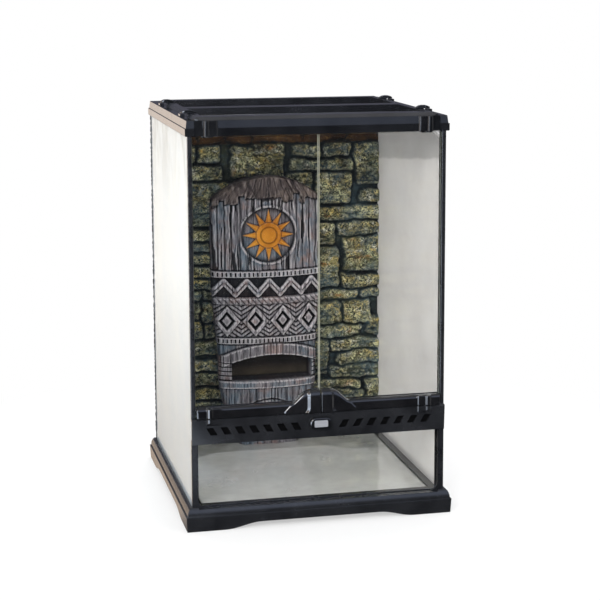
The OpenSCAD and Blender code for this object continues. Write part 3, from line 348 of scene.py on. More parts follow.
def rock(name):
    """Painted foam rock: slate and moss washes, painted shade in the hollows and on the stones' left sides,
    and curly ochre dry-brush on the high spots.
    """
    m = Mat(name)
    tone, joint, ochre, crown = m.attributes("tone", "joint", "ochre", "crown")
    crest, hollow = m.attributes("crest", "hollow")
    wash = m.span(m.noise(34.0, 5.0, 0.6), 0.35, 0.65)
    green = m.noise(22.0, 4.0, 0.6, 0.6, (1.0, 1.0, 1.7))
    slate = m.mix(wash, srgb(42, 58, 67), srgb(106, 130, 138))
    mossy = m.mix(wash, srgb(50, 56, 43), srgb(108, 112, 82))
    base = m.shade(green, 0.44, 0.60, slate, mossy)
    # tone darkens each stone by a random amount, and towards its left side as painted shade
    base = m.mix(m.times(tone, 0.65), base, srgb(32, 42, 47))
    # curly strokes follow the level lines of warped noises
    curl = m.noise(150.0, 1.4, 0.5, 1.8)
    line = m.size(m.minus(curl, 0.5))
    stroke = m.span(line, 0.022, 0.048, 1.0, 0.0)
    curl_fine = m.noise(240.0, 1.3, 0.5, 1.5, (1.0, 1.0, 1.2))
    line_fine = m.size(m.minus(curl_fine, 0.52))
    stroke_fine = m.span(line_fine, 0.018, 0.042, 1.0, 0.0)
    strokes = m.math("MAXIMUM", stroke, stroke_fine)
    patch = m.span(m.noise(44.0, 3.0, 0.6), 0.40, 0.58)
    broad = m.span(m.noise(19.0, 3.0, 0.6, 0.5), 0.42, 0.57, 0.3, 1.25)
    # ochre carries each stone's dry-brush, which leans to its top and right as a painted highlight
    laid = m.plus(m.times(m.times(ochre, broad), m.span(patch, 0.0, 1.0, 0.4, 2.5)),
                  m.times(crest, 0.35), True)
    amount = m.times(strokes, laid, True)
    rust = m.noise(48.0, 4.0, 0.6)
    paint = m.shade(rust, 0.42, 0.62, srgb(238, 236, 184), srgb(230, 202, 112))
    paint = m.mix(m.span(m.noise(95.0, 2.0), 0.50, 0.64), paint, srgb(252, 250, 224))
    paint = m.shade(green, 0.60, 0.70, paint, srgb(196, 128, 66))
    glaze = m.mix(m.times(laid, 0.30), base, srgb(100, 94, 42))
    glaze = m.mix(m.times(m.times(strokes, crest), 0.45), glaze, srgb(146, 162, 160))
    color = m.mix(amount, glaze, paint)
    brown = m.mix(wash, srgb(26, 21, 17), srgb(84, 58, 32))
    brown = m.mix(m.times(strokes, m.span(patch, 0.3, 1.0, 0.0, 0.5)), brown, srgb(132, 100, 58))
    color = m.mix(crown, color, brown)
    # painted shade in the hollows of the relief
    color = m.mix(m.times(hollow, 0.7), color, srgb(20, 26, 29))
    mortar = m.mix(wash, srgb(14, 16, 18), srgb(38, 48, 50))
    color = m.mix(m.times(joint, 0.84), color, mortar)
    grit = m.noise(420.0, 4.0, 0.65)
    height = m.plus(m.times(strokes, 0.5), m.times(grit, 0.8))
    return m.done(m.principled(color=color, rough=m.span(grit, 0.3, 0.7, 0.55, 0.85),
                               specular=0.14, normal=m.bump(height, 0.0014)))


def weathered_wood(name):
    """Painted foam wood: grey with mauve and blue washes, painted shade in its hollows and cut recesses, dark
    cracks, and pale crests.
    """
    m = Mat(name)
    deep, crest, hollow, orange, bark, den = m.attributes("deep", "crest", "hollow", "orange", "bark", "den")
    grain = m.noise(1.0, 5.0, 0.65, 0.35, (560.0, 300.0, 42.0))
    fine = m.noise(1.0, 4.0, 0.6, 0.2, (1300.0, 700.0, 80.0))
    cloud = m.noise(24.0, 4.0, 0.6)
    tint = m.noise(38.0, 3.0, 0.6)
    streaks = m.span(grain, 0.36, 0.62)
    puffs = m.span(cloud, 0.35, 0.65)
    grey = m.mix(streaks, srgb(74, 72, 78), srgb(162, 156, 160))
    blue = m.mix(streaks, srgb(58, 71, 84), srgb(139, 151, 162))
    pink = m.mix(streaks, srgb(89, 73, 73), srgb(173, 151, 147))
    color = m.shade(cloud, 0.47, 0.58, grey, blue)
    color = m.shade(tint, 0.54, 0.64, color, pink)
    dry = m.times(crest, m.span(fine, 0.34, 0.56, 0.25, 1.0))
    color = m.mix(dry, color, srgb(226, 220, 222))
    crack = m.span(m.noise(1.0, 3.0, 0.6, 0.5, (420.0, 200.0, 20.0)), 0.585, 0.64)
    color = m.mix(m.times(crack, 0.75), color, srgb(32, 30, 38))
    rough_bark = m.shade(grain, 0.35, 0.65, srgb(60, 51, 49), srgb(122, 108, 102))
    rough_bark = m.mix(m.span(cloud, 0.42, 0.58, 0.0, 0.7), rough_bark, srgb(74, 66, 68))
    rough_bark = m.mix(m.span(tint, 0.50, 0.62, 0.0, 0.5), rough_bark, srgb(140, 124, 114))
    rough_bark = m.mix(m.times(dry, 0.75), rough_bark, srgb(186, 172, 166))
    color = m.mix(bark, color, rough_bark)
    # painted shade in the hollows of the relief
    color = m.mix(m.times(hollow, 0.9), color, srgb(26, 24, 30))
    amber = m.mix(puffs, srgb(196, 116, 26), srgb(236, 158, 52))
    # painted shade in the hollows of the sun's orange
    amber = m.mix(m.times(hollow, 0.8), amber, srgb(110, 58, 14))
    amber = m.mix(m.times(crest, 0.5), amber, srgb(252, 192, 96))
    color = m.mix(orange, color, amber)
    # painted shade of the carved recesses, splits, gaps and the hide's mouth
    color = m.mix(deep, color, srgb(17, 15, 18))
    # the hide's mouth: its painted shade, darkest at the top, gives way to brown towards its floor
    inner = m.mix(puffs, srgb(60, 54, 44), srgb(82, 72, 58))
    color = m.mix(den, color, inner)
    height = m.plus(grain, m.times(fine, 0.4))
    return m.done(m.principled(color=color, rough=m.span(fine, 0.3, 0.7, 0.5, 0.78), specular=0.16,
                               normal=m.bump(height, 0.0010)))


FRAME_PLASTIC = plastic("frame", (27, 28, 31), 0.12, 0.22, coat=0.2)
DOOR_PLASTIC = plastic("door", (15, 15, 17), 0.05, 0.10, 0.00001, 0.5)
LID_PLASTIC = plastic("lid", (26, 27, 31), 0.14, 0.26, coat=0.2)
CLIP_PLASTIC = plastic("clip", (16, 17, 19), 0.06, 0.14, 0.00002, 0.5)
KNOB_PLASTIC = plastic("knob", (10, 11, 13), 0.04, 0.08, 0.00001, 0.8)
GATE_PLASTIC = plastic("gate", (40, 41, 44), 0.3, 0.45, 0.00004)
TOP_PLASTIC = plastic("top", (18, 19, 22), 0.07, 0.14, 0.00002, 0.3)
TRIM_PLASTIC = plastic("trim", (22, 23, 26), 0.22, 0.36, coat=0.1)
# the door panes' cut edges are painted almost white: the glass edge's colour with a painted highlight, duller
# on the outer edges out by the frame
DOOR_PANE = clear_pane("door_pane", (0.985, 0.985, 0.985, 1), 0.002, srgb(232, 232, 212),
                       outer_edge=srgb(128, 132, 126))
LOWER_PANE = clear_pane("lower_pane", (0.985, 0.987, 0.985, 1), 0.002, srgb(96, 108, 100))
BACK_PANE = clear_pane("back_pane", (0.95, 0.975, 0.965, 1), 0.03, srgb(120, 140, 128))
FLOOR_PANE = clear_pane("floor_pane", (0.90, 0.90, 0.89, 1), 0.60, srgb(120, 140, 128), (0, 0, 1),
                        srgb(224, 224, 219), 0.09)
LEFT_PANE = milky_pane("left_pane", srgb(236, 245, 254), srgb(248, 253, 255), (0.86, 1.0, 1.0, 1), 0.0, 0.16)
RIGHT_PANE = milky_pane("right_pane", srgb(240, 237, 234), srgb(252, 250, 247), (1, 1, 1, 1), 0.26, 0.0)
STEEL = brushed_steel("pin_steel")
SILVER = brushed_steel("satin_silver", srgb(170, 172, 178), 0.35, 0.30, 0.42)
SILICONE = sealant("black_sealant")
LID_WIRE = wire("lid_wire", srgb(52, 54, 58))
VENT_WIRE = wire("vent_wire", srgb(11, 11, 12), 0.9, 0.02)
ROCK = rock("painted_rock")
WOOD = weathered_wood("painted_wood")


# CAD nodes that keep their own shape

for nodes, material in (
        ("floor_glass", FLOOR_PANE), ("left_glass", LEFT_PANE), ("right_glass", RIGHT_PANE),
        ("back_glass", BACK_PANE), ("front_lower_glass", LOWER_PANE), ("silicone_seams", SILICONE),
        ("front_window_trim left_edge_trim right_edge_trim", TRIM_PLASTIC),
        ("left_door_glass right_door_glass", DOOR_PANE),
        ("left_hinge_pins right_hinge_pins latch_ring", STEEL),
        ("left_top_hinge_cap right_top_hinge_cap", DOOR_PLASTIC),
        ("latch_shaft", KNOB_PLASTIC), ("left_cable_gate right_cable_gate", GATE_PLASTIC)):
    for node in nodes.split():
        NODES[node].data.materials.clear()
        NODES[node].data.materials.append(material)


# Softened plastic shells

def shell(node, material, width):
    """A copy of a CAD node whose sharp edges are rounded as a mould leaves them. It replaces the node."""
    mesh = NODES[node].data.copy()
    mesh.name = node + "_shell"
    bm = bmesh.new()
    bm.from_mesh(mesh)
    bmesh.ops.remove_doubles(bm, verts=bm.verts, dist=0.000002)
    bmesh.ops.dissolve_limit(bm, angle_limit=math.radians(0.6), verts=bm.verts, edges=bm.edges)
    bm.to_mesh(mesh)
    bm.free()
    mesh.materials.clear()
    mesh.materials.append(material)
    obj = link_object(mesh, mesh.name)
    mod = obj.modifiers.new("round", "BEVEL")
    mod.width = width * MM
    mod.segments = 2
    mod.limit_method = "ANGLE"
    mod.angle_limit = math.radians(26)
    mod.use_clamp_overlap = True
    rounded = bpy.data.meshes.new_from_object(obj.evaluated_get(bpy.context.evaluated_depsgraph_get()))
    obj.modifiers.clear()
    obj.data = rounded
    rounded.polygons.foreach_set("use_smooth", np.ones(len(rounded.polygons), bool))
    rounded.set_sharp_from_angle(angle=math.radians(50))
    mod = obj.modifiers.new("even", "WEIGHTED_NORMAL")
    mod.weight = 90
    mod.keep_sharp = True
    place(obj, node)


shell("base_frame", FRAME_PLASTIC, 0.7)
shell("top_frame", TOP_PLASTIC, 0.6)
shell("vent_strip", FRAME_PLASTIC, 0.5)
shell("lid_frame", LID_PLASTIC, 0.7)
for clip in ("front_left_clip", "front_right_clip", "rear_left_clip", "rear_right_clip"):
    shell(clip, CLIP_PLASTIC, 0.6)


# Latch knob

def rounded_outline(half_w, half_h, radius, count=96):
    """Points round a rectangle whose corners have the given radius, in even steps of angle."""
    points = []
    per = count // 4
    for quarter, (sx, sz) in enumerate([(1, 1), (-1, 1), (-1, -1), (1, -1)]):
        for k in range(per):
            a = math.pi / 2 * (quarter + (k + 0.5) / per)
            points.append((sx * (half_w - radius) + radius * math.cos(a),
                           sz * (half_h - radius) + radius * math.sin(a)))
    return points


def lofted(name, *solids):
    """A mesh of closed solids, each through its own rings of equal count, with the two ends filled."""
    verts = []
    faces = []
    for rings in solids:
        n = len(rings[0])
        first = len(verts)
        last = first + (len(rings) - 1) * n
        verts += [p for ring in rings for p in ring]
        faces += [(k + i, k + (i + 1) % n, k + n + (i + 1) % n, k + n + i)
                  for k in range(first, last, n) for i in range(n)]
        faces += [tuple(range(first + n - 1, first - 1, -1)), tuple(range(last, last + n))]
    return mesh_from(name, verts, faces)


PLATE_HALF_W = 8.0
PLATE_HALF_H = 4.0
PLATE_R = 1.6
PLATE_BEVEL = 0.35
KNOB_EDGE = 1.7
KNOB_CROWN = 0.15


def build_knob():
    """The oval latch knob: a glossy crowned button with a bare satin plate let into its front."""
    low, high = box_mm("latch_knob")
    mid_z = (low[2] + high[2]) / 2
    half_l = (high[0] - low[0]) / 2
    half_h = (high[2] - low[2]) / 2
    front = low[1] + KNOB_CROWN

    def ring(y, outline):
        return [(x * MM, y * MM, (mid_z + z) * MM) for x, z in outline]

    rings = []
    for y, inset in [(high[1], 0.0)] + [
            (front + KNOB_EDGE * (1 - math.sin(t)), KNOB_EDGE * (1 - math.cos(t)))
            for t in np.linspace(0.0, math.pi / 2, 9)]:
        rings.append(ring(y, rounded_outline(half_l - inset, half_h - inset, half_h - inset - 0.01)))
    for share in (0.86, 0.7, 0.5, 0.3, 0.12):
        flat_h = (half_h - KNOB_EDGE) * share
        rings.append(ring(front - KNOB_CROWN * (1 - share ** 2),
                          rounded_outline((half_l - KNOB_EDGE) * share, flat_h, flat_h * 0.99)))
    piece(lofted("knob_button", rings), "knob_button", KNOB_PLASTIC, "latch_knob")
    rings = [ring(y, rounded_outline(PLATE_HALF_W - inset, PLATE_HALF_H - inset, PLATE_R - inset))
             for y, inset in ((front + 0.5, 0.0), (low[1] + 0.10, 0.0), (low[1], PLATE_BEVEL))]
    mesh = lofted("knob_plate", rings)
    mesh.polygons.foreach_set("use_smooth", np.zeros(len(mesh.polygons), bool))
    piece(mesh, "knob_plate", SILVER, "latch_knob", replaces=False)


build_knob()


# Door rails with their halves of the handle

RAIL_LOW, RAIL_HIGH = box_mm("right_door_rail")
PANE_LOW, PANE_HIGH = box_mm("right_door_glass")
RAIL_Z0 = RAIL_LOW[2]
RAIL_TOP = RAIL_Z0 + 12.4
RAIL_FRONT = RAIL_LOW[1] + 3.2
RAIL_BACK = RAIL_HIGH[1] - 5.0
CHANNEL_GAP = 0.2
CHANNEL_Y0 = PANE_LOW[1] - CHANNEL_GAP
CHANNEL_Y1 = PANE_HIGH[1] + CHANNEL_GAP
CHANNEL_Z = PANE_LOW[2]
RAIL_IN_X = RAIL_LOW[0]
RAIL_OUT_X = RAIL_HIGH[0]
HANDLE_TOP = RAIL_HIGH[2]
HANDLE_CROWN = 8.0
HANDLE_R = 23.2
HANDLE_REACH = 42
PAD_FRONT = RAIL_LOW[1] + 0.2
PAD_HALF = 12.6
FLANK = 0.8
FLARE = 3.2
FLARE_H = 6.0
# Hinge pad and knuckle: from and to across, and front
HINGE_PAD = (115.5, 133.0, -156.0)
KNUCKLE = (125.5, 133.0, RAIL_LOW[1])
KNUCKLE_R = 3.4
# The catch for the latch cam is a hook on the back of the rail, HOOK_L long from HOOK_X outwards
HOOK_T = 2.0
HOOK_FRONT = RAIL_BACK - 1
HOOK_BACK = RAIL_HIGH[1]
HOOK_TOP = RAIL_Z0 + 6.1
HOOK = [(HOOK_FRONT, HOOK_TOP), (HOOK_BACK, HOOK_TOP), (HOOK_BACK, RAIL_Z0), (HOOK_BACK - HOOK_T, RAIL_Z0),
        (HOOK_BACK - HOOK_T, HOOK_TOP - HOOK_T), (HOOK_FRONT, HOOK_TOP - HOOK_T)]
HOOK_X = RAIL_IN_X + 1
HOOK_L = 8.0


def handle_line(x):
    """Height of the handle's outline: a flat crown, a round shoulder and a 45 degree flank."""
    bend = HANDLE_R * math.sin(math.radians(45))
    over = np.clip(x - HANDLE_CROWN, 0, bend)
    arc = HANDLE_TOP - HANDLE_R + np.sqrt(HANDLE_R ** 2 - over ** 2)
    return arc - np.maximum(x - HANDLE_CROWN - bend, 0)


def round_front(x, part):
    """Front of a hinge pad or knuckle whose upright edges are rounded in plan."""
    x0, x1, front = part
    inset = np.maximum(np.maximum(x0 + KNUCKLE_R - x, x - x1 + KNUCKLE_R), 0)
    curve = front + KNUCKLE_R - np.sqrt(np.maximum(KNUCKLE_R ** 2 - inset ** 2, 0))
    return np.where((x < x0) | (x > x1), 0.0, curve)


def rail_top(x):
    """Height of the rail's top with a small fillet where the handle's flank runs into it."""
    line = handle_line(x)
    gap = np.clip(0.5 + 0.5 * (line - RAIL_TOP) / 3.0, 0, 1)
    return line * gap + RAIL_TOP * (1 - gap) + 3.0 * gap * (1 - gap)


def rail_front(x, z):
    """How far forward the rail's front stands at a height."""
    half = PAD_HALF + FLARE * np.clip(1 - (z - RAIL_Z0) / FLARE_H, 0, 1) ** 2
    pad = 1 - smooth(half - 0.4, half + 3.4, x)
    flank = smooth(-0.9, 0.5, handle_line(x) - z) * (x < HANDLE_REACH)
    front = RAIL_FRONT - FLANK * flank + (PAD_FRONT - RAIL_FRONT + FLANK) * pad
    return np.minimum(front, np.minimum(round_front(x, HINGE_PAD), round_front(x, KNUCKLE)))


def rail_ring(x, pull):
    """One closed section of the rail across x, drawn in by pull at the ends."""
    top = float(rail_top(x)) - pull
    pad_x0, pad_x1, _ = HINGE_PAD
    bulge = float(smooth(pad_x0 - 1, pad_x0 + 1.5, x) * (1 - smooth(pad_x1 - 0.5, pad_x1 + 0.5, x)))
    drop = float(5.0 + 4.5 * smooth(RAIL_TOP, HANDLE_TOP, top)) * (1 - bulge) + 1.8 * bulge
    power = 2.6
    points = []
    for t in np.linspace(0, 1, 15):
        z = top - drop * (1 - math.cos(t * math.pi / 2)) ** (1 / 1.15)
        share = min(1.0, (top - z) / drop)
        reach = (1 - (1 - share) ** power) ** (1 / power)
        front = float(rail_front(x, z)) + pull
        points.append((CHANNEL_Y0 + (front - CHANNEL_Y0) * reach, float(z)))
    for z in np.concatenate([np.linspace(top - drop, RAIL_Z0 + FLARE_H, 5)[1:],
                             np.linspace(RAIL_Z0 + FLARE_H, RAIL_Z0 + 0.4, 9)[1:]]):
        points.append((float(rail_front(x, z)) + pull, float(z)))
    points.append((points[-1][0] + 0.4, RAIL_Z0))
    back_top = RAIL_TOP - pull
    points += [(RAIL_BACK - pull, RAIL_Z0), (RAIL_BACK - pull, back_top - 0.3), (RAIL_BACK - 0.3, back_top),
               (CHANNEL_Y1, back_top), (CHANNEL_Y1, CHANNEL_Z), (CHANNEL_Y0, CHANNEL_Z)]
    return points


def build_rail(side, name, node):
    # close stations along the handle, its flank and the hinge pad, wide ones along the plain rail
    xs = np.concatenate([np.arange(1.6, 20, 0.5), np.arange(20, 43, 0.8), np.arange(44, 114, 7.0),
                         np.arange(114.6, 134.2, 0.4), [136, 140, 143.4]])
    stations = [(RAIL_IN_X, 0.4), (RAIL_IN_X + 0.12, 0.16), (RAIL_IN_X + 0.4, 0.0)]
    stations += [(float(x), 0.0) for x in xs] + [(RAIL_OUT_X - 0.15, 0.15), (RAIL_OUT_X, 0.4)]

    def ring(x, outline):
        return [(side * x * MM, y * MM, z * MM) for y, z in outline]

    rail = [ring(x, rail_ring(np.float64(x), pull)) for x, pull in stations]
    mesh = lofted(name, rail, [ring(x, HOOK) for x in (HOOK_X, HOOK_X + HOOK_L)])
    mesh.set_sharp_from_angle(angle=math.radians(48))
    piece(mesh, name, DOOR_PLASTIC, node)


build_rail(-1, "left_rail_moulding", "left_door_rail")
build_rail(1, "right_rail_moulding", "right_door_rail")


# Wire meshes

def wire_net(name, node, pitch, radius, material, axes, gap=0.0):
    """Two layers of six-sided wires on a fine pitch within a CAD node's box. axes are the two directions that
    the wires take and the one through the net. A net with a gap has two parts, that far from the middle."""
    low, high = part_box(node)
    ax, ay, az = axes
    mid = (low[az] + high[az]) / 2
    wires = []
    for part in [(low[ax], -gap), (gap, high[ax])] if gap else [(low[ax], high[ax])]:
        reach = {ax: part, ay: (low[ay], high[ay])}
        for along, across, layer in ((ax, ay, 0.35), (ay, ax, -0.35)):
            c0, c1 = reach[across]
            count = max(2, int((c1 - c0 - 2 * radius) / pitch))
            for k in range(count + 1):
                c = c0 + radius + (c1 - c0 - 2 * radius) * k / count
                rings = []
                for a in reach[along]:
                    for j in range(6):
                        t = 2 * math.pi * j / 6
                        p = [0.0, 0.0, 0.0]
                        p[along] = a
                        p[across] = c + radius * math.cos(t)
                        p[az] = mid + layer * radius + radius * math.sin(t)
                        rings.append(p)
                wires.append((rings[:6], rings[6:]))
    piece(lofted(name, *wires), name, material, node)


wire_net("lid_wire_mesh", "lid_mesh", 1.9 * MM, 0.16 * MM, LID_WIRE, (0, 1, 2))
wire_net("vent_wire_mesh", "vent_mesh", 1.0 * MM, 0.49 * MM, VENT_WIRE, (0, 2, 1), 18 * MM)


# Sealant squeezed out along the rear corners

def build_bead(side, name, node, seed):
    """A thin uneven bead of black silicone up the outer edge where a side pane meets the back pane."""
    rnd = np.random.RandomState(seed)
    low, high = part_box(node)
    outer_x = low[0] if side < 0 else high[0]
    rings = []
    for z in np.arange(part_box("base_frame")[1][2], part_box("top_frame")[0][2], 2.2 * MM):
        r = rnd.uniform(0.7, 1.5) * MM
        rings.append([(outer_x + r * math.cos(a), high[1] - 0.5 * MM + r * math.sin(a), float(z))
                      for a in np.arange(8) * math.pi / 4])
    piece(lofted(name, rings), name, SILICONE, node, replaces=False)


build_bead(-1, "left_rear_bead", "left_glass", 91)
build_bead(1, "right_rear_bead", "right_glass", 92)


# Rock wall and the carved panel that stands before it

WALL_LOW, WALL_HIGH = box_mm("rock_background")
PANEL_LOW, PANEL_HIGH = box_mm("carved_panel")
WALL_X = WALL_HIGH[0]
WALL_Y0 = PANEL_HIGH[1]
WALL_Y1 = WALL_HIGH[1]
WALL_Z0 = WALL_LOW[2]
WALL_Z1 = WALL_HIGH[2]
WALL_CORNER = 4.9
PANEL_X = (PANEL_LOW[0] + PANEL_HIGH[0]) / 2
PANEL_HALF = (PANEL_HIGH[0] - PANEL_LOW[0]) / 2
PANEL_FRONT = PANEL_LOW[1]
PANEL_TOP = round(PANEL_HIGH[2])
PANEL_R = 103.0
# The panel's crown is part of an upright cylinder. The relief starts from one a little behind its front.
CAD_CROWN_R = 170.0
PANEL_CROWN_R = CAD_CROWN_R - 3.0
PANEL_AXIS_Y = PANEL_FRONT + CAD_CROWN_R
PANEL_WAIST_Z = 84
# Half width of the panel by height
PANEL_SIDE = [(WALL_Z0, 39), (PANEL_WAIST_Z, 60), (108, 64), (143, 64), (232, PANEL_HALF), (400, PANEL_HALF)]
PANEL_COLS = 201
PANEL_ROWS = 488
HIDE_X = PANEL_X + 5.0
HIDE_HALF = 53.0
HIDE_Z = 109.0
HIDE_SIDE = 24.0
HIDE_MID = 34.0
HIDE_BACK_Y = WALL_Y0 - 5.0
SUN_Z = PANEL_TOP - 75.0
SUN_R = 17.0
SUN_RAY = 33.0
SUN_STEP = 2 * math.pi / 12
# Bands of the carving by their lower and upper heights, with the pitch of the teeth
ARCH_PLANKS = (253, 362)
TEETH_HIGH = (245.6, 253.4, 5.6)
ZIGZAG = (219.4, 244.6)
DIAMONDS = (167.4, 209.6)
TEETH_LOW = (158.4, 166.4, 5.2)
ROPE_Z = 214.4
ROPE_HALF = 4.0
ZIG_COUNT = 5
ZIG_PITCH = 2 * PANEL_HALF / ZIG_COUNT
ZIG_HALF = 6.2
ZIG_Z = 232
DOT_R = 3.9
DOT_OFF = 8.6
DIAMOND_PITCH = 2 * PANEL_HALF / 4
DIAMOND_HALF_W = 16.5
DIAMOND_HALF_H = 20.0
# The lip of short planks over the hide's mouth and the ledge under it
LIP_H = 15.8
LIP_HALF_W = 66
LIP_PITCH = 8.6
LIP_SHADE_TOP = 164
LEDGE_H = 9.4
POST_PITCH = 5.8
# Lobes of the bark cap: centre across, height, half width, half height and lift
CAP_LOBES = [(-50, 338, 24, 22, 0.4), (-27, 354, 22, 18, 1.6), (-2, 364, 25, 16, 2.6), (26, 357, 21, 19, 1.2),
             (50, 340, 22, 24, 0.2)]


def panel_half_width(z):
    side = np.interp(z, [p[0] for p in PANEL_SIDE], [p[1] for p in PANEL_SIDE])
    arch = np.sqrt(np.maximum(PANEL_R ** 2 - np.maximum(z - (PANEL_TOP - PANEL_R), 0) ** 2, 1.0))
    return np.minimum(side, arch)


# The spacing of the rock wall's points, the top of its coursed stones, and how far out those reach
GRID = 1.15
STONE_TOP = 414.0
STONE_END = 146
STONE_RUN_ON = 6
# The stones as they lie in the wall: left, right, bottom, top, and how much ochre they carry. Those that
# reach STONE_END go on to a side pane.
STONES = [
    (-146, -97, 390, 414, .2), (-95, -65, 391, 414, .6), (-49, 19, 371, 414, .75), (27, 66, 396, 414, .8),
    (67, 110, 396, 414, .55), (115, 146, 358, 414, .7), (27, 113, 378, 393, .65),
    (-146, -60, 370, 388, .5), (-146, -52, 309, 367, .35), (20, 57, 345, 376, .6), (60, 108, 333, 376, .45),
    (119, 146, 333, 351, .8), (-146, -78, 290, 305, .7), (60, 146, 311, 329, .6), (89, 146, 292, 309, .8),
    (50, 87, 281, 308, .6), (-146, -78, 276, 288, .15), (-146, -76, 261, 274, .7), (98, 146, 244, 290, .7),
    (50, 92, 224, 278, .4), (-146, -76, 242, 258, .8), (-146, -76, 226, 240, .75), (94, 146, 222, 241, .75),
    (-146, -92, 212, 224, .5), (-90, -74, 212, 224, .5), (50, 120, 206, 220, .7), (123, 146, 206, 219, .8),
    (-146, -92, 189, 210, .4), (-90, -74, 183, 210, .65), (97, 138, 172, 204, .9), (50, 96, 172, 204, .3),
    (-146, -91, 162, 187, .8), (-89, -72, 162, 181, .7), (50, 122, 156, 170, .65), (131, 146, 157, 181, .6),
    (-146, -68, 141, 159, .35), (80, 146, 137, 153, .85), (50, 80, 104, 153, .15), (90, 146, 118, 136, .6),
    (-146, -66, 118, 135, .85), (-146, -66, 99, 117, .25), (80, 146, 100, 117, .2), (50, 122, 85, 98, .75),
    (127, 146, 69, 98, .7), (-146, -60, 80, 96, .8), (50, 125, 69, 84, .2), (-146, -56, 61, 78, .3),
    (44, 96, 52, 67, .5), (98, 146, 47, 67, .3), (-146, -92, 43, 59, .5), (-90, -46, 43, 59, .4),
    (40, 146, 25, 46, .3), (-146, -40, 25, 41, .4),
    (-60, -8, 330, 366, .3), (-8, 50, 320, 366, .3), (-60, 0, 200, 325, .2), (0, 60, 180, 315, .2),
    (-50, 50, 60, 175, .2), (-36, 36, 25, 57, .2)]
BROWN_STONES = [(-146, -96), (-93, -60), (-57, -25), (-22, 42), (45, 100), (103, 146)]


def stone_profile(x, z, box, rim, radius):
    """Signed depth inside a round-cornered box, as 0 outside to 1 beyond the rim."""
    x0, x1, z0, z1 = box
    qx = np.abs(x - (x0 + x1) / 2) - (x1 - x0) / 2 + radius
    qz = np.abs(z - (z0 + z1) / 2) - (z1 - z0) / 2 + radius
    outside = np.hypot(np.maximum(qx, 0), np.maximum(qz, 0)) + np.minimum(np.maximum(qx, qz), 0) - radius
    return np.clip(-outside / rim, 0, 1)


def dome(p):
    """A quarter round from 0 to 1 as p goes from 0 to 1."""
    return np.sqrt(np.clip(p * (2 - p), 0, 1))


def relief_mesh(name, front, columns, extra, caps, fields):
    """A closed mesh: a grid of front points, further points, strips of faces between columns of points, and
    large end faces. fields gives each attribute's values on the grid, and its value on the further points."""
    rows, cols = front.shape[:2]
    grid = np.arange(rows * cols).reshape(rows, cols)
    faces = np.stack([grid[:-1, :-1], grid[:-1, 1:], grid[1:, 1:], grid[1:, :-1]], -1).reshape(-1, 4).tolist()
    for a, b in zip(columns, columns[1:]):
        faces += np.stack([a[:-1], a[1:], b[1:], b[:-1]], 1).tolist()
    verts = np.concatenate([front.reshape(-1, 3), extra]) * MM
    mesh = mesh_from(name, verts.tolist(), faces + caps)
    for field, (values, fill) in fields.items():
        values = np.concatenate([values.ravel(), np.full(len(extra), fill)])
        attribute = mesh.attributes.new(field, "FLOAT", "POINT")
        attribute.data.foreach_set("value", np.clip(values, 0, 1).astype(np.float32))
    return mesh


def crest_and_hollow(height, scale, radius=3):
    """How far each point stands above and below the mean of a square window, each from 0 to 1."""
    n = 2 * radius + 1
    sums = np.pad(np.pad(height, radius, mode="edge").cumsum(0).cumsum(1), ((1, 0), (1, 0)))
    mean = (sums[n:, n:] - sums[:-n, n:] - sums[n:, :-n] + sums[:-n, :-n]) / n ** 2
    rise = (height - mean) / scale
    return smooth(0.1, 1.0, rise), smooth(0.1, 1.0, -rise)


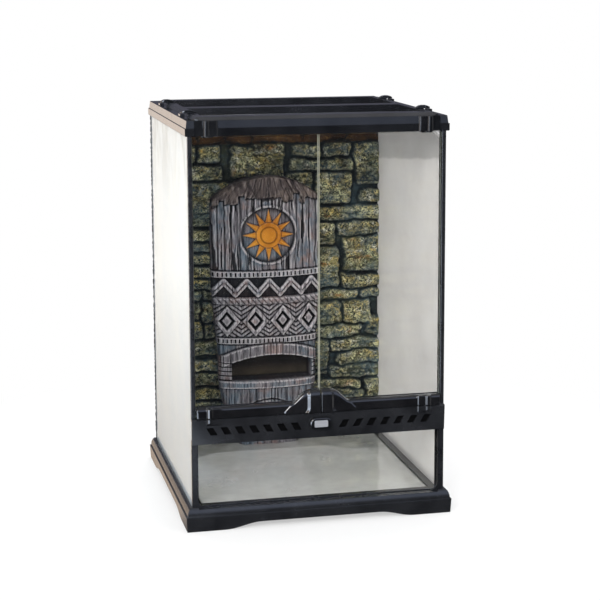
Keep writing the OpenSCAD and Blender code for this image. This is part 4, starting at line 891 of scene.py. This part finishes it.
def build_rock_wall():
    xs = np.linspace(-WALL_X, WALL_X, int(2 * WALL_X / GRID) + 1)
    zs = np.linspace(WALL_Z0, WALL_Z1, int((WALL_Z1 - WALL_Z0) / GRID) + 1)
    x, z = np.meshgrid(xs, zs)
    warp_x = x + 10.0 * (fbm(x, z, 26, 16, 3) - 0.5) + 4.0 * (fbm(x, z, 7, 6, 8) - 0.5)
    warp_z = z + 9.0 * (fbm(x, z, 30, 22, 17) - 0.5) + 3.4 * (fbm(x, z, 8, 5, 23) - 0.5)
    height = np.full_like(x, 0.4) + 0.8 * fbm(x, z, 7, 7, 31)
    tone = np.full_like(x, 0.5)
    ochre = np.zeros_like(x)
    inside = np.zeros_like(x)
    rnd = np.random.RandomState(7)
    for x0, x1, z0, z1, paint in STONES:
        # the end stones run on into the side panes
        x0 = x0 - STONE_RUN_ON if x0 <= -STONE_END else x0
        x1 = x1 + STONE_RUN_ON if x1 >= STONE_END else x1
        depth = rnd.uniform(7.2, 10.6)
        lean_x, lean_z = rnd.uniform(-0.8, 0.8, 2)
        shade = rnd.uniform(0, 1)
        side = rnd.uniform(-1, 1, 2)
        box = (x0 - 0.6, x1 + 0.6, z0 - 0.6, z1 + 0.6)
        p = stone_profile(warp_x, warp_z, box, 4.6, min(6.0, (z1 - z0) * 0.4))
        u = (warp_x - (x0 + x1) / 2) / ((x1 - x0) / 2)
        v = (warp_z - (z0 + z1) / 2) / ((z1 - z0) / 2)
        rise = (depth + lean_x * u + lean_z * v) * dome(p)
        wins = rise > height
        height = np.where(wins, rise, height)
        # tone: a random darkness for each stone, with painted shade towards its left side and a slight
        # darkening towards its top
        tone = np.where(wins, np.clip(shade - 0.3 * u + 0.1 * v, 0, 1), tone)
        # the ochre leans at random, and towards the top and right of each stone as a painted highlight
        spread = 0.8 + 0.25 * side[0] * u + 0.15 * side[1] * v + 0.15 * u + 0.6 * v
        ochre = np.where(wins, paint * np.clip(spread, 0, 1.5), ochre)
        inside = np.maximum(inside, p)
    # strata, chips, pits and cracks of the carved foam
    strata = fbm(x, z, 34, 3.2, 51) - 0.5
    chips = np.abs(fbm(x, z, 9, 6, 61) - 0.5) * 2
    pits = fbm(x, z, 3.6, 3.0, 71, 2) - 0.5
    facets = fbm(x, z, 15, 9, 81, 2) - 0.5
    face = smooth(0.15, 0.7, inside)
    cracks = smooth(0.16, 0.04, chips)
    height = height + face * (3.6 * strata + 4.6 * facets - 1.6 * cracks + 1.8 * pits)
    # plain crown of the wall with its own broad stones
    crown = smooth(STONE_TOP - 0.5, STONE_TOP + 1.5, z)
    crown_height = np.full_like(x, 3.2)
    for x0, x1 in BROWN_STONES:
        p = stone_profile(warp_x, warp_z, (x0, x1, STONE_TOP + 2, WALL_Z1 - 3), 4.0, 4.0)
        crown_height = np.maximum(crown_height, 7.0 * dome(p))
    crown_height = crown_height + 2.4 * (fbm(x, z, 6, 4, 91) - 0.5)
    height = height * (1 - crown) + crown_height * crown
    inside = inside * (1 - crown) + crown * smooth(2.6, 4.5, crown_height)
    height = np.clip(height, 0.2, 11.8)
    # crest guides the ochre dry-brush; hollow carries the painted shade in the hollows
    crest, hollow = crest_and_hollow(height, 1.5)
    # the joints' dark paint, worn off in places
    worn = 0.5 * (fbm(x, z, 12, 9, 101) - 0.5)
    joint = 1 - smooth(0.0, 0.72, inside + worn * (inside > 0)) ** 0.8
    joint = joint * (0.42 + 0.58 * smooth(0.36, 0.58, fbm(x, z, 26, 18, 103)))
    # the wall lies flat behind the carved panel
    behind = (np.abs(x - PANEL_X) < panel_half_width(z) - 4) & (z < PANEL_TOP - 4)
    height = np.where(behind, 0.3, height)
    # the back, with its two rear corners cut off
    rows, cols = x.shape
    grid = np.arange(rows * cols).reshape(rows, cols)
    corners = [(s * px, py) for s in (-1, 1)
               for px, py in ((WALL_X, WALL_Y1 - WALL_CORNER), (WALL_X - WALL_CORNER, WALL_Y1))]
    extra = np.concatenate([np.stack([np.full(rows, px), np.full(rows, py), zs], -1) for px, py in corners])
    left, left_back, right, right_back = rows * cols + np.arange(4 * rows).reshape(4, rows)
    ends = (left, left_back, right_back, right)
    caps = [grid[0, ::-1].tolist() + [int(c[0]) for c in ends],
            grid[-1].tolist() + [int(c[-1]) for c in ends[::-1]]]
    mesh = relief_mesh("rock_wall", np.stack([x, WALL_Y0 - height, z], -1), [grid[:, 0], *ends, grid[:, -1]],
                       extra, caps, {
                           "tone": (tone, 0.9), "joint": (np.maximum(joint, cracks * face * 0.5), 0.7),
                           "ochre": (ochre * smooth(0.3, 0.9, inside), 0.0), "crown": (crown, 0.0),
                           "crest": (crest, 0.0), "hollow": (hollow, 0.3)})
    piece(mesh, "rock_wall", ROCK, "rock_background")


build_rock_wall()


# Carved wooden panel

def build_wood_panel():
    rows, cols = PANEL_ROWS, PANEL_COLS
    zs = np.linspace(WALL_Z0, PANEL_TOP - 0.3, rows)
    s = np.linspace(-1, 1, cols)
    half = panel_half_width(zs)
    u = s[None, :] * half[:, None]
    z = np.repeat(zs[:, None], cols, 1)
    x = u + PANEL_X
    crown = PANEL_AXIS_Y - np.sqrt(PANEL_CROWN_R ** 2 - u ** 2)
    relief = np.zeros_like(u)
    # painted shade, 0 to 1: darkness painted into cracks, grooves, gaps, under overhangs and in the hide's
    # mouth
    deep = np.zeros_like(u)
    wob = 4.5 * (fbm(u, z, 16, 40, 201) - 0.5)

    def lay(region, height):
        """Puts a height in the place of the relief within a region."""
        nonlocal relief
        relief = relief * (1 - region) + region * height

    def darken(amount, clear=0.0):
        """Deepens the shade of hollows, after taking it off where a region is cleared."""
        nonlocal deep
        deep = np.maximum(deep * (1 - clear), amount)

    def fold(distance, pitch):
        """Distance from the middle of the cell that a point lies in."""
        return np.abs((distance / pitch) % 1 - 0.5) * pitch

    def rounded_plank(off):
        return np.sqrt(np.clip(1 - (np.abs(off) / 0.5) ** 2.6, 0, 1))

    def bar(distance, half):
        """The rounded profile of a rib across its half width."""
        return np.sqrt(np.clip(1 - (distance / half) ** 2, 0, 1))

    def band(z0, z1, soft=0.8):
        return smooth(z0 - soft / 2, z0 + soft / 2, z) * (1 - smooth(z1 - soft / 2, z1 + soft / 2, z))

    def planks(pitch, shift, seed):
        """The rounded profile of a row of planks, the height of each, and how it drifts along them."""
        across = (u + wob + shift) / pitch
        number = np.round(across)
        off = across - number
        own = lattice_noise(number * 10.0, np.zeros_like(z), 10, 300, seed)
        slow = lattice_noise(number * 10.0, z, 10, 60, seed + 2)
        return rounded_plank(off), own, slow

    # planks of the arch, with painted shade between them
    field = band(*ARCH_PLANKS)
    rounded, own, slow = planks(9.2, 4.6, 211)
    relief += field * (4.4 * rounded - 4.0 + 3.4 * (slow - 0.5) + 1.6 * (own - 0.5))
    darken(field * smooth(0.52, 0.12, rounded) * 0.95)
    # splits that run down the planks, with painted shade in them
    split = fbm(u + wob * 0.5, z, 2.6, 34, 223, 2)
    crack = smooth(0.62, 0.70, split) * band(ARCH_PLANKS[0] - 3, ARCH_PLANKS[1] + 2)
    relief -= 2.2 * crack
    darken(crack * 0.85)
    # bark cap over the arch: swelling lobes of frayed strands whose lower ends hang unevenly; a painted
    # shadow lies under those ends and painted shade between the strands
    _, lock_own, _ = planks(8.0, 3.0, 231)
    rag = 6.0 * (fbm(u, z, 9, 9, 231) - 0.5) + 13.0 * (lock_own - 0.5)
    cap_line = PANEL_TOP - 24 - 0.0024 * u ** 2 + rag
    over = z - cap_line
    cap = smooth(-0.6, 0.6, over)
    lobes = []
    for cx, cz, rx, rz, lift in CAP_LOBES:
        d = ((u - cx + 2.0 * wob) / rx) ** 2 + ((z - cz + wob) / rz) ** 2
        lobes.append(np.where(d < 1, lift, 0) + 4.2 * np.sqrt(np.clip(1 - d, 0, 1)))
    soft_lobes = np.log(np.exp(np.stack(lobes) * 1.1).sum(0)) / 1.1 - 1.2
    strand = fbm(u + 0.55 * (z - 350) * np.tanh((u + 4) / 18), z, 2.6, 16, 239, 3) - 0.5
    roll = np.sqrt(np.clip(over / 5.0, 0, 1))
    lay(cap, -3.4 + 3.0 * roll + soft_lobes + 4.6 * strand)
    strand_gap = smooth(-0.04, -0.16, strand) * cap
    darken(bell(over + 0.9, 1.3) * 0.95, cap)
    darken(0.45 * strand_gap)
    # long soft creases that run over the cap, with painted shade along them
    crease = fbm(u * (1 + 0.25 * (PANEL_TOP - z) / 40), z, 13, 46, 269, 2) - 0.5
    crease_line = smooth(0.05, 0.0, np.abs(crease)) * cap
    relief += cap * 5.0 * crease - 0.8 * crease_line
    darken(0.5 * crease_line)
    # sun rosette in its dish, with painted shade in the dish round the rays and in the ring cut in the disc
    r = np.hypot(u, z - SUN_Z)
    ang = np.arctan2(z - SUN_Z, u)
    dish = 1 - smooth(SUN_RAY + 1.5, SUN_RAY + 3.5, r)
    lay(dish, -1.9 + 0.9 * (fbm(u, z, 5, 5, 245, 2) - 0.5))
    rim = bell(r - SUN_RAY - 4.2, 1.6)
    relief += 2.6 * rim * (1 - cap)
    darken(dish * smooth(SUN_RAY - 5, SUN_RAY + 2, r) * 0.85, dish)
    disc = 1 - smooth(SUN_R - 1.2, SUN_R, r)
    sector = fold(ang + SUN_STEP / 2, SUN_STEP)
    ray_half = 3.8 * np.clip((SUN_RAY - r) / (SUN_RAY - SUN_R), 0, 1)
    ray = smooth(0.6, -0.2, np.sin(sector) * r - ray_half) * smooth(SUN_R - 1, SUN_R + 0.6, r) * (r < SUN_RAY)
    ridge = np.clip(1 - np.sin(sector) * r / np.maximum(ray_half, 0.3), 0, 1)
    relief += disc * (3.0 + 2.0 * np.sqrt(np.clip(1 - (r / SUN_R) ** 2, 0, 1)))
    relief += ray * (2.2 + 2.0 * ridge)
    ring = bell(r - 0.62 * SUN_R, 1.1)
    relief -= ring * 1.7 * disc
    orange = np.clip(disc + ray, 0, 1)
    deep = np.where(orange > 0.5, ring * disc * 0.35, deep)

    def toothed(z0, z1, pitch):
        """A band of small upright teeth between two rims, with painted shade in the gaps and along the band's
        edges.
        """
        nonlocal relief
        full = band(z0, z1)
        mid, half_h = (z0 + z1) / 2, (z1 - z0) / 2
        lay(full, 1.6 + 2.6 * bar(z - mid, half_h + 0.6))
        inner = band(z0 + 1.4, z1 - 1.4, 0.6)
        t = fold(u + wob * 0.4 + 200, pitch)
        gap = smooth(pitch * 0.28, pitch * 0.42, t) * inner
        relief -= gap * 3.0
        darken(gap * 0.9, full)
        darken(np.clip(bell(z - z0 + 1.4, 1.1) + bell(z - z1 - 1.2, 0.9), 0, 1) * 0.9)

    toothed(*TEETH_HIGH)
    toothed(*TEETH_LOW)
    # a rope moulding, cut on the slant, with painted shade in the cuts
    rope = band(ROPE_Z - ROPE_HALF, ROPE_Z + ROPE_HALF, 0.5)
    twist = fold(u + 0.9 * (z - ROPE_Z) + 200, 7.2)
    lay(rope, 0.6 + 3.4 * bar(z - ROPE_Z, ROPE_HALF + 0.3) * bar(twist, 4.6))
    darken(rope * smooth(2.5, 3.5, twist) * 0.9, rope)
    # zigzag with dots in its bays, painted shade in the sunk field and along the zigzag's middle groove, left
    # off the dots
    zig_field = band(*ZIGZAG)
    relief -= zig_field * 3.2
    zig_line = ZIG_Z + 7.8 * (1 - 4 * fold(u + PANEL_HALF, ZIG_PITCH) / ZIG_PITCH)
    stripe = np.abs(z - zig_line + 0.25 * wob)
    zig = smooth(ZIG_HALF, ZIG_HALF - 0.8, stripe) * zig_field
    relief += zig * (4.0 + 2.8 * bar(stripe, ZIG_HALF))
    groove_mid = smooth(1.2, 0.3, stripe) * zig_field
    relief -= groove_mid * 2.2
    darken(zig_field * (1 - zig) * 0.92)
    darken(groove_mid * 0.85)
    for k in range(ZIG_COUNT + 1):
        for dot_z, step in ((ZIG_Z + DOT_OFF, k - 0.5), (ZIG_Z - DOT_OFF, k)):
            dist = np.hypot(u + PANEL_HALF - ZIG_PITCH * step, z - dot_z)
            dot = smooth(DOT_R, DOT_R - 0.8, dist) * zig_field
            lay(dot, 0.4 + 3.4 * bar(dist, DOT_R))
            deep = deep * (1 - dot)
    # diamonds, with slanted ribs between them; painted shade in the diamonds' hollows, between the ribs and
    # round the diamonds
    dia_field = band(*DIAMONDS)
    aside = fold(u + PANEL_HALF, DIAMOND_PITCH)
    size = aside / DIAMOND_HALF_W + np.abs(z - sum(DIAMONDS) / 2) / DIAMOND_HALF_H
    dia = smooth(1.04, 0.98, size) * dia_field
    hollow = smooth(0.66, 0.60, size) * dia_field
    core = smooth(0.40, 0.34, size) * dia_field
    relief -= dia_field * 2.6
    relief += dia * (3.6 + 3.0 * bar(size - 0.84, 0.22)) - hollow * 4.6
    relief += core * (3.2 + 3.0 * bar(size, 0.4))
    darken(np.clip(hollow - core, 0, 1))
    between = dia_field * (1 - dia)
    rib = fold(z + 200 + 0.7 * aside + 0.5 * wob, 6.0)
    relief += between * 3.8 * bar(rib, 2.9)
    darken(between * smooth(1.7, 2.7, rib) * 0.95)
    darken(between * smooth(1.16, 1.02, size) * 0.9)

    # mouth of the hide, and the lip of short planks over it, with painted shade between the planks and a
    # painted shadow line above the lip
    hx = x - HIDE_X
    sag = HIDE_MID - HIDE_SIDE
    arc_r = (HIDE_HALF ** 2 + sag ** 2) / (2 * sag)
    top_line = HIDE_Z + HIDE_MID - arc_r + np.sqrt(np.maximum(arc_r ** 2 - hx ** 2, 0))
    above = z - top_line
    lip = smooth(0.0, 0.7, above) * smooth(LIP_H, LIP_H - 1.4, above) * (np.abs(hx) < LIP_HALF_W)
    t = ((hx + 400 + 0.5 * wob) / LIP_PITCH) % 1 - 0.5
    lip_round = rounded_plank(t)
    lay(lip, 1.0 + 3.4 * lip_round)
    darken(smooth(0.45, 0.12, lip_round) * lip * 0.9, lip)
    darken(bell(above - LIP_H - 0.8, 1.1) * 0.85 * (z < LIP_SHADE_TOP))
    ledge_z = HIDE_Z - LEDGE_H
    relief += 3.4 * smooth(HIDE_Z - 0.2, HIDE_Z - 1.0, z) * smooth(ledge_z - 1, ledge_z, z)
    # planks under the mouth, with painted shade between them and along the low arched groove
    low_field = band(WALL_Z0, ledge_z - 0.4)
    rounded, own, slow = planks(9.6, 2.0, 243)
    relief += low_field * (3.4 * rounded - 3.0 + 2.6 * (slow - 0.5))
    darken(low_field * smooth(0.42, 0.1, rounded) * 0.9)
    arch_low = bell(z - (PANEL_WAIST_Z - 0.012 * u ** 2), 1.2) * low_field
    relief -= 2.2 * arch_low
    darken(arch_low * 0.9)
    # posts of small rings either side of the mouth, with painted shade in the notches
    post = smooth(0.0, 0.8, np.abs(hx) - HIDE_HALF) * band(HIDE_Z - 1, HIDE_Z + HIDE_SIDE + 2)
    notch = smooth(0.30, 0.46, fold(z, POST_PITCH) / POST_PITCH) * post
    relief += post * 1.2 - notch * 2.0
    darken(notch * 0.8)
    # carver's cuts and wear all over
    chisel = fbm(u, z, 5, 22, 251, 3) - 0.5
    fine = fbm(u, z, 1.8, 15, 257, 2) - 0.5
    relief += (1 - dish * 0.7) * (2.6 * chisel + 1.4 * fine)
    # rounded side edges of the log, darkened with painted shade
    side_dist = half[:, None] - np.abs(u)
    relief -= 3.4 * smooth(6.0, 0.0, side_dist)
    darken(0.5 * smooth(5.0, 0.0, side_dist))

    hide = np.minimum(np.minimum(HIDE_HALF - np.abs(hx), z - HIDE_Z), -above)
    opening = smooth(-0.35, 0.35, hide)
    relief = np.clip(relief, -6.5, 5.5)
    # crest carries the pale crests; the hollows carry painted shade
    crest, hollow_shade = crest_and_hollow(relief, 1.3)
    y = crown - relief
    floor_y = HIDE_BACK_Y + 1.4 * (fbm(u, z, 10, 6, 263) - 0.5) - 0.8
    y = y * (1 - opening) + floor_y * opening
    y = np.clip(y, PANEL_FRONT, WALL_Y0)
    # the hide's mouth is filled with painted shade, which gives way to brown towards its floor
    darken(smooth(-0.4, 0.6, hide))
    den = smooth(-0.4, 0.6, hide) * (1 - 0.8 * smooth(HIDE_Z + 2, HIDE_Z + 20, z)) * smooth(0.0, 4.0, hide)
    # the mesh, with a flat back and edges that run straight back to it
    front = np.stack([x, y, z], -1)
    grid = np.arange(rows * cols).reshape(rows, cols)
    outline = np.concatenate([grid[:, 0], grid[-1, 1:], grid[-2::-1, -1], grid[0, -2:0:-1]])
    extra = front.reshape(-1, 3)[outline]
    extra[:, 1] = WALL_Y0
    back = rows * cols + np.arange(len(outline))
    mesh = relief_mesh("wood_panel", front, [np.append(outline, outline[0]), np.append(back, back[0])],
                       extra, [back.tolist()], {
                           "deep": (deep, 0.6), "crest": (crest, 0.0), "hollow": (hollow_shade, 0.3),
                           "orange": (orange, 0.0), "bark": (cap, 0.0), "den": (den, 0.0)})
    piece(mesh, "wood_panel", WOOD, "carved_panel")


build_wood_panel()


# Stage, light and camera

# The tall window that glossy edges mirror: its compass bearing from the x axis, its half width and the
# softness of its edges in degrees, and its light
WINDOW_BEARING = math.radians(221.8)
WINDOW_HALF = 26.0
WINDOW_SOFT = 5.0
WINDOW_LIGHT = (7.6, 8.6, 10.2, 1)
WINDOW_CENTRE_Y = -0.15


def toward_window(m, x, y):
    """1 where a level direction points at the tall window to the front left of the object."""
    level = m.out("CombineXYZ", {"X": x, "Y": y, "Z": 0.0})
    level = m.out("VectorMath", {0: level}, operation="NORMALIZE")
    facing = m.out("VectorMath", {0: level, 1: (math.cos(WINDOW_BEARING), math.sin(WINDOW_BEARING), 0.0)},
                   "Value", operation="DOT_PRODUCT")
    return m.span(facing, *(math.cos(math.radians(WINDOW_HALF + s * WINDOW_SOFT)) for s in (1, -1)))


def build_floor():
    """A pale floor that keeps the shadow close to the object and is white further out. Glossy surfaces
    mirror it as a warm room to the left, a dim one in front and a plain one elsewhere."""
    side, front_end, rear_end = 9, -9, 14
    mesh = mesh_from("floor", [(-side, front_end, 0), (side, front_end, 0), (side, rear_end, 0),
                               (-side, rear_end, 0)], [(0, 1, 2, 3)], outward=False)
    m = Mat("pale_floor")
    tone = m.mix(m.noise(3.0, 4.0), srgb(236, 236, 236), srgb(242, 242, 242))
    diffuse = m.principled(color=tone, rough=0.8, specular=0.1)
    path = m.add("LightPath").outputs
    x, y, _ = m.axes()
    level = m.out("CombineXYZ", {"X": x, "Y": y, "Z": 0.0})
    far = m.out("VectorMath", {0: level}, "Value", operation="LENGTH")
    white = m.out("Emission", {"Color": (1, 1, 1, 1), "Strength": 1.0})
    share = m.span(far, 0.22, 0.60, 0.50, 1.0)
    seen = m.mix_shader(m.times(path["Is Camera Ray"], share), diffuse, white)
    front = m.span(m.math("DIVIDE", y, far), -0.35, -0.75)
    left = m.times(m.span(m.math("DIVIDE", x, far), -0.03, -0.18), m.minus(1.0, front))
    room = m.mix(front, (0.45, 0.45, 0.46, 1), (0.035, 0.038, 0.050, 1))
    wood = m.shade(far, 0.3, 1.6, (0.70, 0.56, 0.45, 1), (1.30, 1.10, 0.95, 1))
    room = m.mix(left, room, wood)
    near = m.times(m.span(far, 0.3, 0.9), m.span(far, 1.5, 2.4, 1.0, 0.15))
    room = m.mix(m.times(toward_window(m, x, m.minus(y, WINDOW_CENTRE_Y)), near), room, WINDOW_LIGHT)
    mirrored = m.out("Emission", {"Color": room, "Strength": 1.0})
    mesh.materials.append(m.done(m.mix_shader(path["Is Glossy Ray"], seen, mirrored)))
    link_object(mesh, "floor")


def build_world():
    """White behind the object, soft light on it, and a studio for glossy surfaces to mirror."""
    m = Mat("studio", bpy.data.worlds.new("studio"))
    bpy.context.scene.world = m.owner
    path = m.add("LightPath").outputs
    x, y, z = m.axes("Generated")
    room = m.shade(z, 0.15, 0.6, (0.09, 0.09, 0.12, 1), (0.50, 0.50, 0.52, 1))
    front = m.shade(z, 0.02, 0.24, (0.05, 0.055, 0.07, 1), (0.80, 0.92, 1.25, 1))
    front = m.shade(z, 0.55, 0.85, front, (0.34, 0.37, 0.46, 1))
    room = m.shade(y, -0.1, -0.5, room, front)
    room = m.shade(x, -0.35, -0.75, room, (1.70, 1.42, 1.20, 1))
    room = m.mix(m.times(toward_window(m, x, y), m.span(z, 0.30, 0.20)), room, WINDOW_LIGHT)
    mirror = m.out("Background", {"Color": room, "Strength": 1.0})
    white = m.out("Background", {"Color": (1, 1, 1, 1), "Strength": 1.0})
    soft = m.out("Background", {"Color": (0.98, 0.99, 1.0, 1), "Strength": 0.6})
    lit = m.mix_shader(path["Is Glossy Ray"], soft, mirror)
    seen = m.math("MAXIMUM", path["Is Camera Ray"], path["Is Transmission Ray"])
    m.done(m.mix_shader(seen, lit, white), "OutputWorld")


def area_light(name, location, aim_z, size, energy, color=(1, 1, 1), mirrored=False):
    """A rectangular lamp that points at a height on the object's axis."""
    data = bpy.data.lights.new(name, "AREA")
    data.shape = "RECTANGLE"
    data.size, data.size_y = size
    data.energy = energy
    data.color = color
    obj = link_object(data, name)
    obj.location = location
    obj.rotation_euler = (Vector((0, 0, aim_z)) - Vector(location)).to_track_quat("-Z", "Y").to_euler()
    obj.visible_glossy = mirrored


# The camera that was fitted to the photo: side, focal length and picture centre in its pixels
PHOTO_PX = 600.0
FOCAL_PX = 1677.7
CENTRE_PX = (330.0, 240.0)
CAMERA_AT = (-0.4325, -1.9851, 0.6314)
CAMERA_DOWN = 9.03
CAMERA_ROLL = 0.07
CAMERA_TURN = -13.64


def build_camera():
    data = bpy.data.cameras.new("camera")
    data.sensor_width = data.sensor_height = 36.0
    data.sensor_fit = "AUTO"
    data.lens = FOCAL_PX / PHOTO_PX * data.sensor_width
    data.shift_x = -(CENTRE_PX[0] - PHOTO_PX / 2) / PHOTO_PX
    data.shift_y = (CENTRE_PX[1] - PHOTO_PX / 2) / PHOTO_PX
    data.clip_start = 0.05
    data.clip_end = 50.0
    obj = link_object(data, "camera")
    obj.location = CAMERA_AT
    obj.rotation_mode = "XYZ"
    obj.rotation_euler = [math.radians(a) for a in (90 - CAMERA_DOWN, CAMERA_ROLL, CAMERA_TURN)]
    bpy.context.scene.camera = obj


build_floor()
build_world()
area_light("key", (-1.3, -2.2, 1.5), 0.25, (1.2, 1.2), 52.0, (1.0, 0.985, 0.96), mirrored=True)
area_light("fill", (1.7, -1.5, 1.2), 0.25, (1.4, 1.4), 16.0, (0.95, 0.98, 1.0))
area_light("top", (0.0, 0.3, 2.2), 0.3, (1.6, 1.6), 26.0)
area_light("rear", (0.6, 2.0, 1.4), 0.3, (1.4, 1.0), 14.0)
build_camera()

bpy.context.scene.view_settings.view_transform = "Standard"
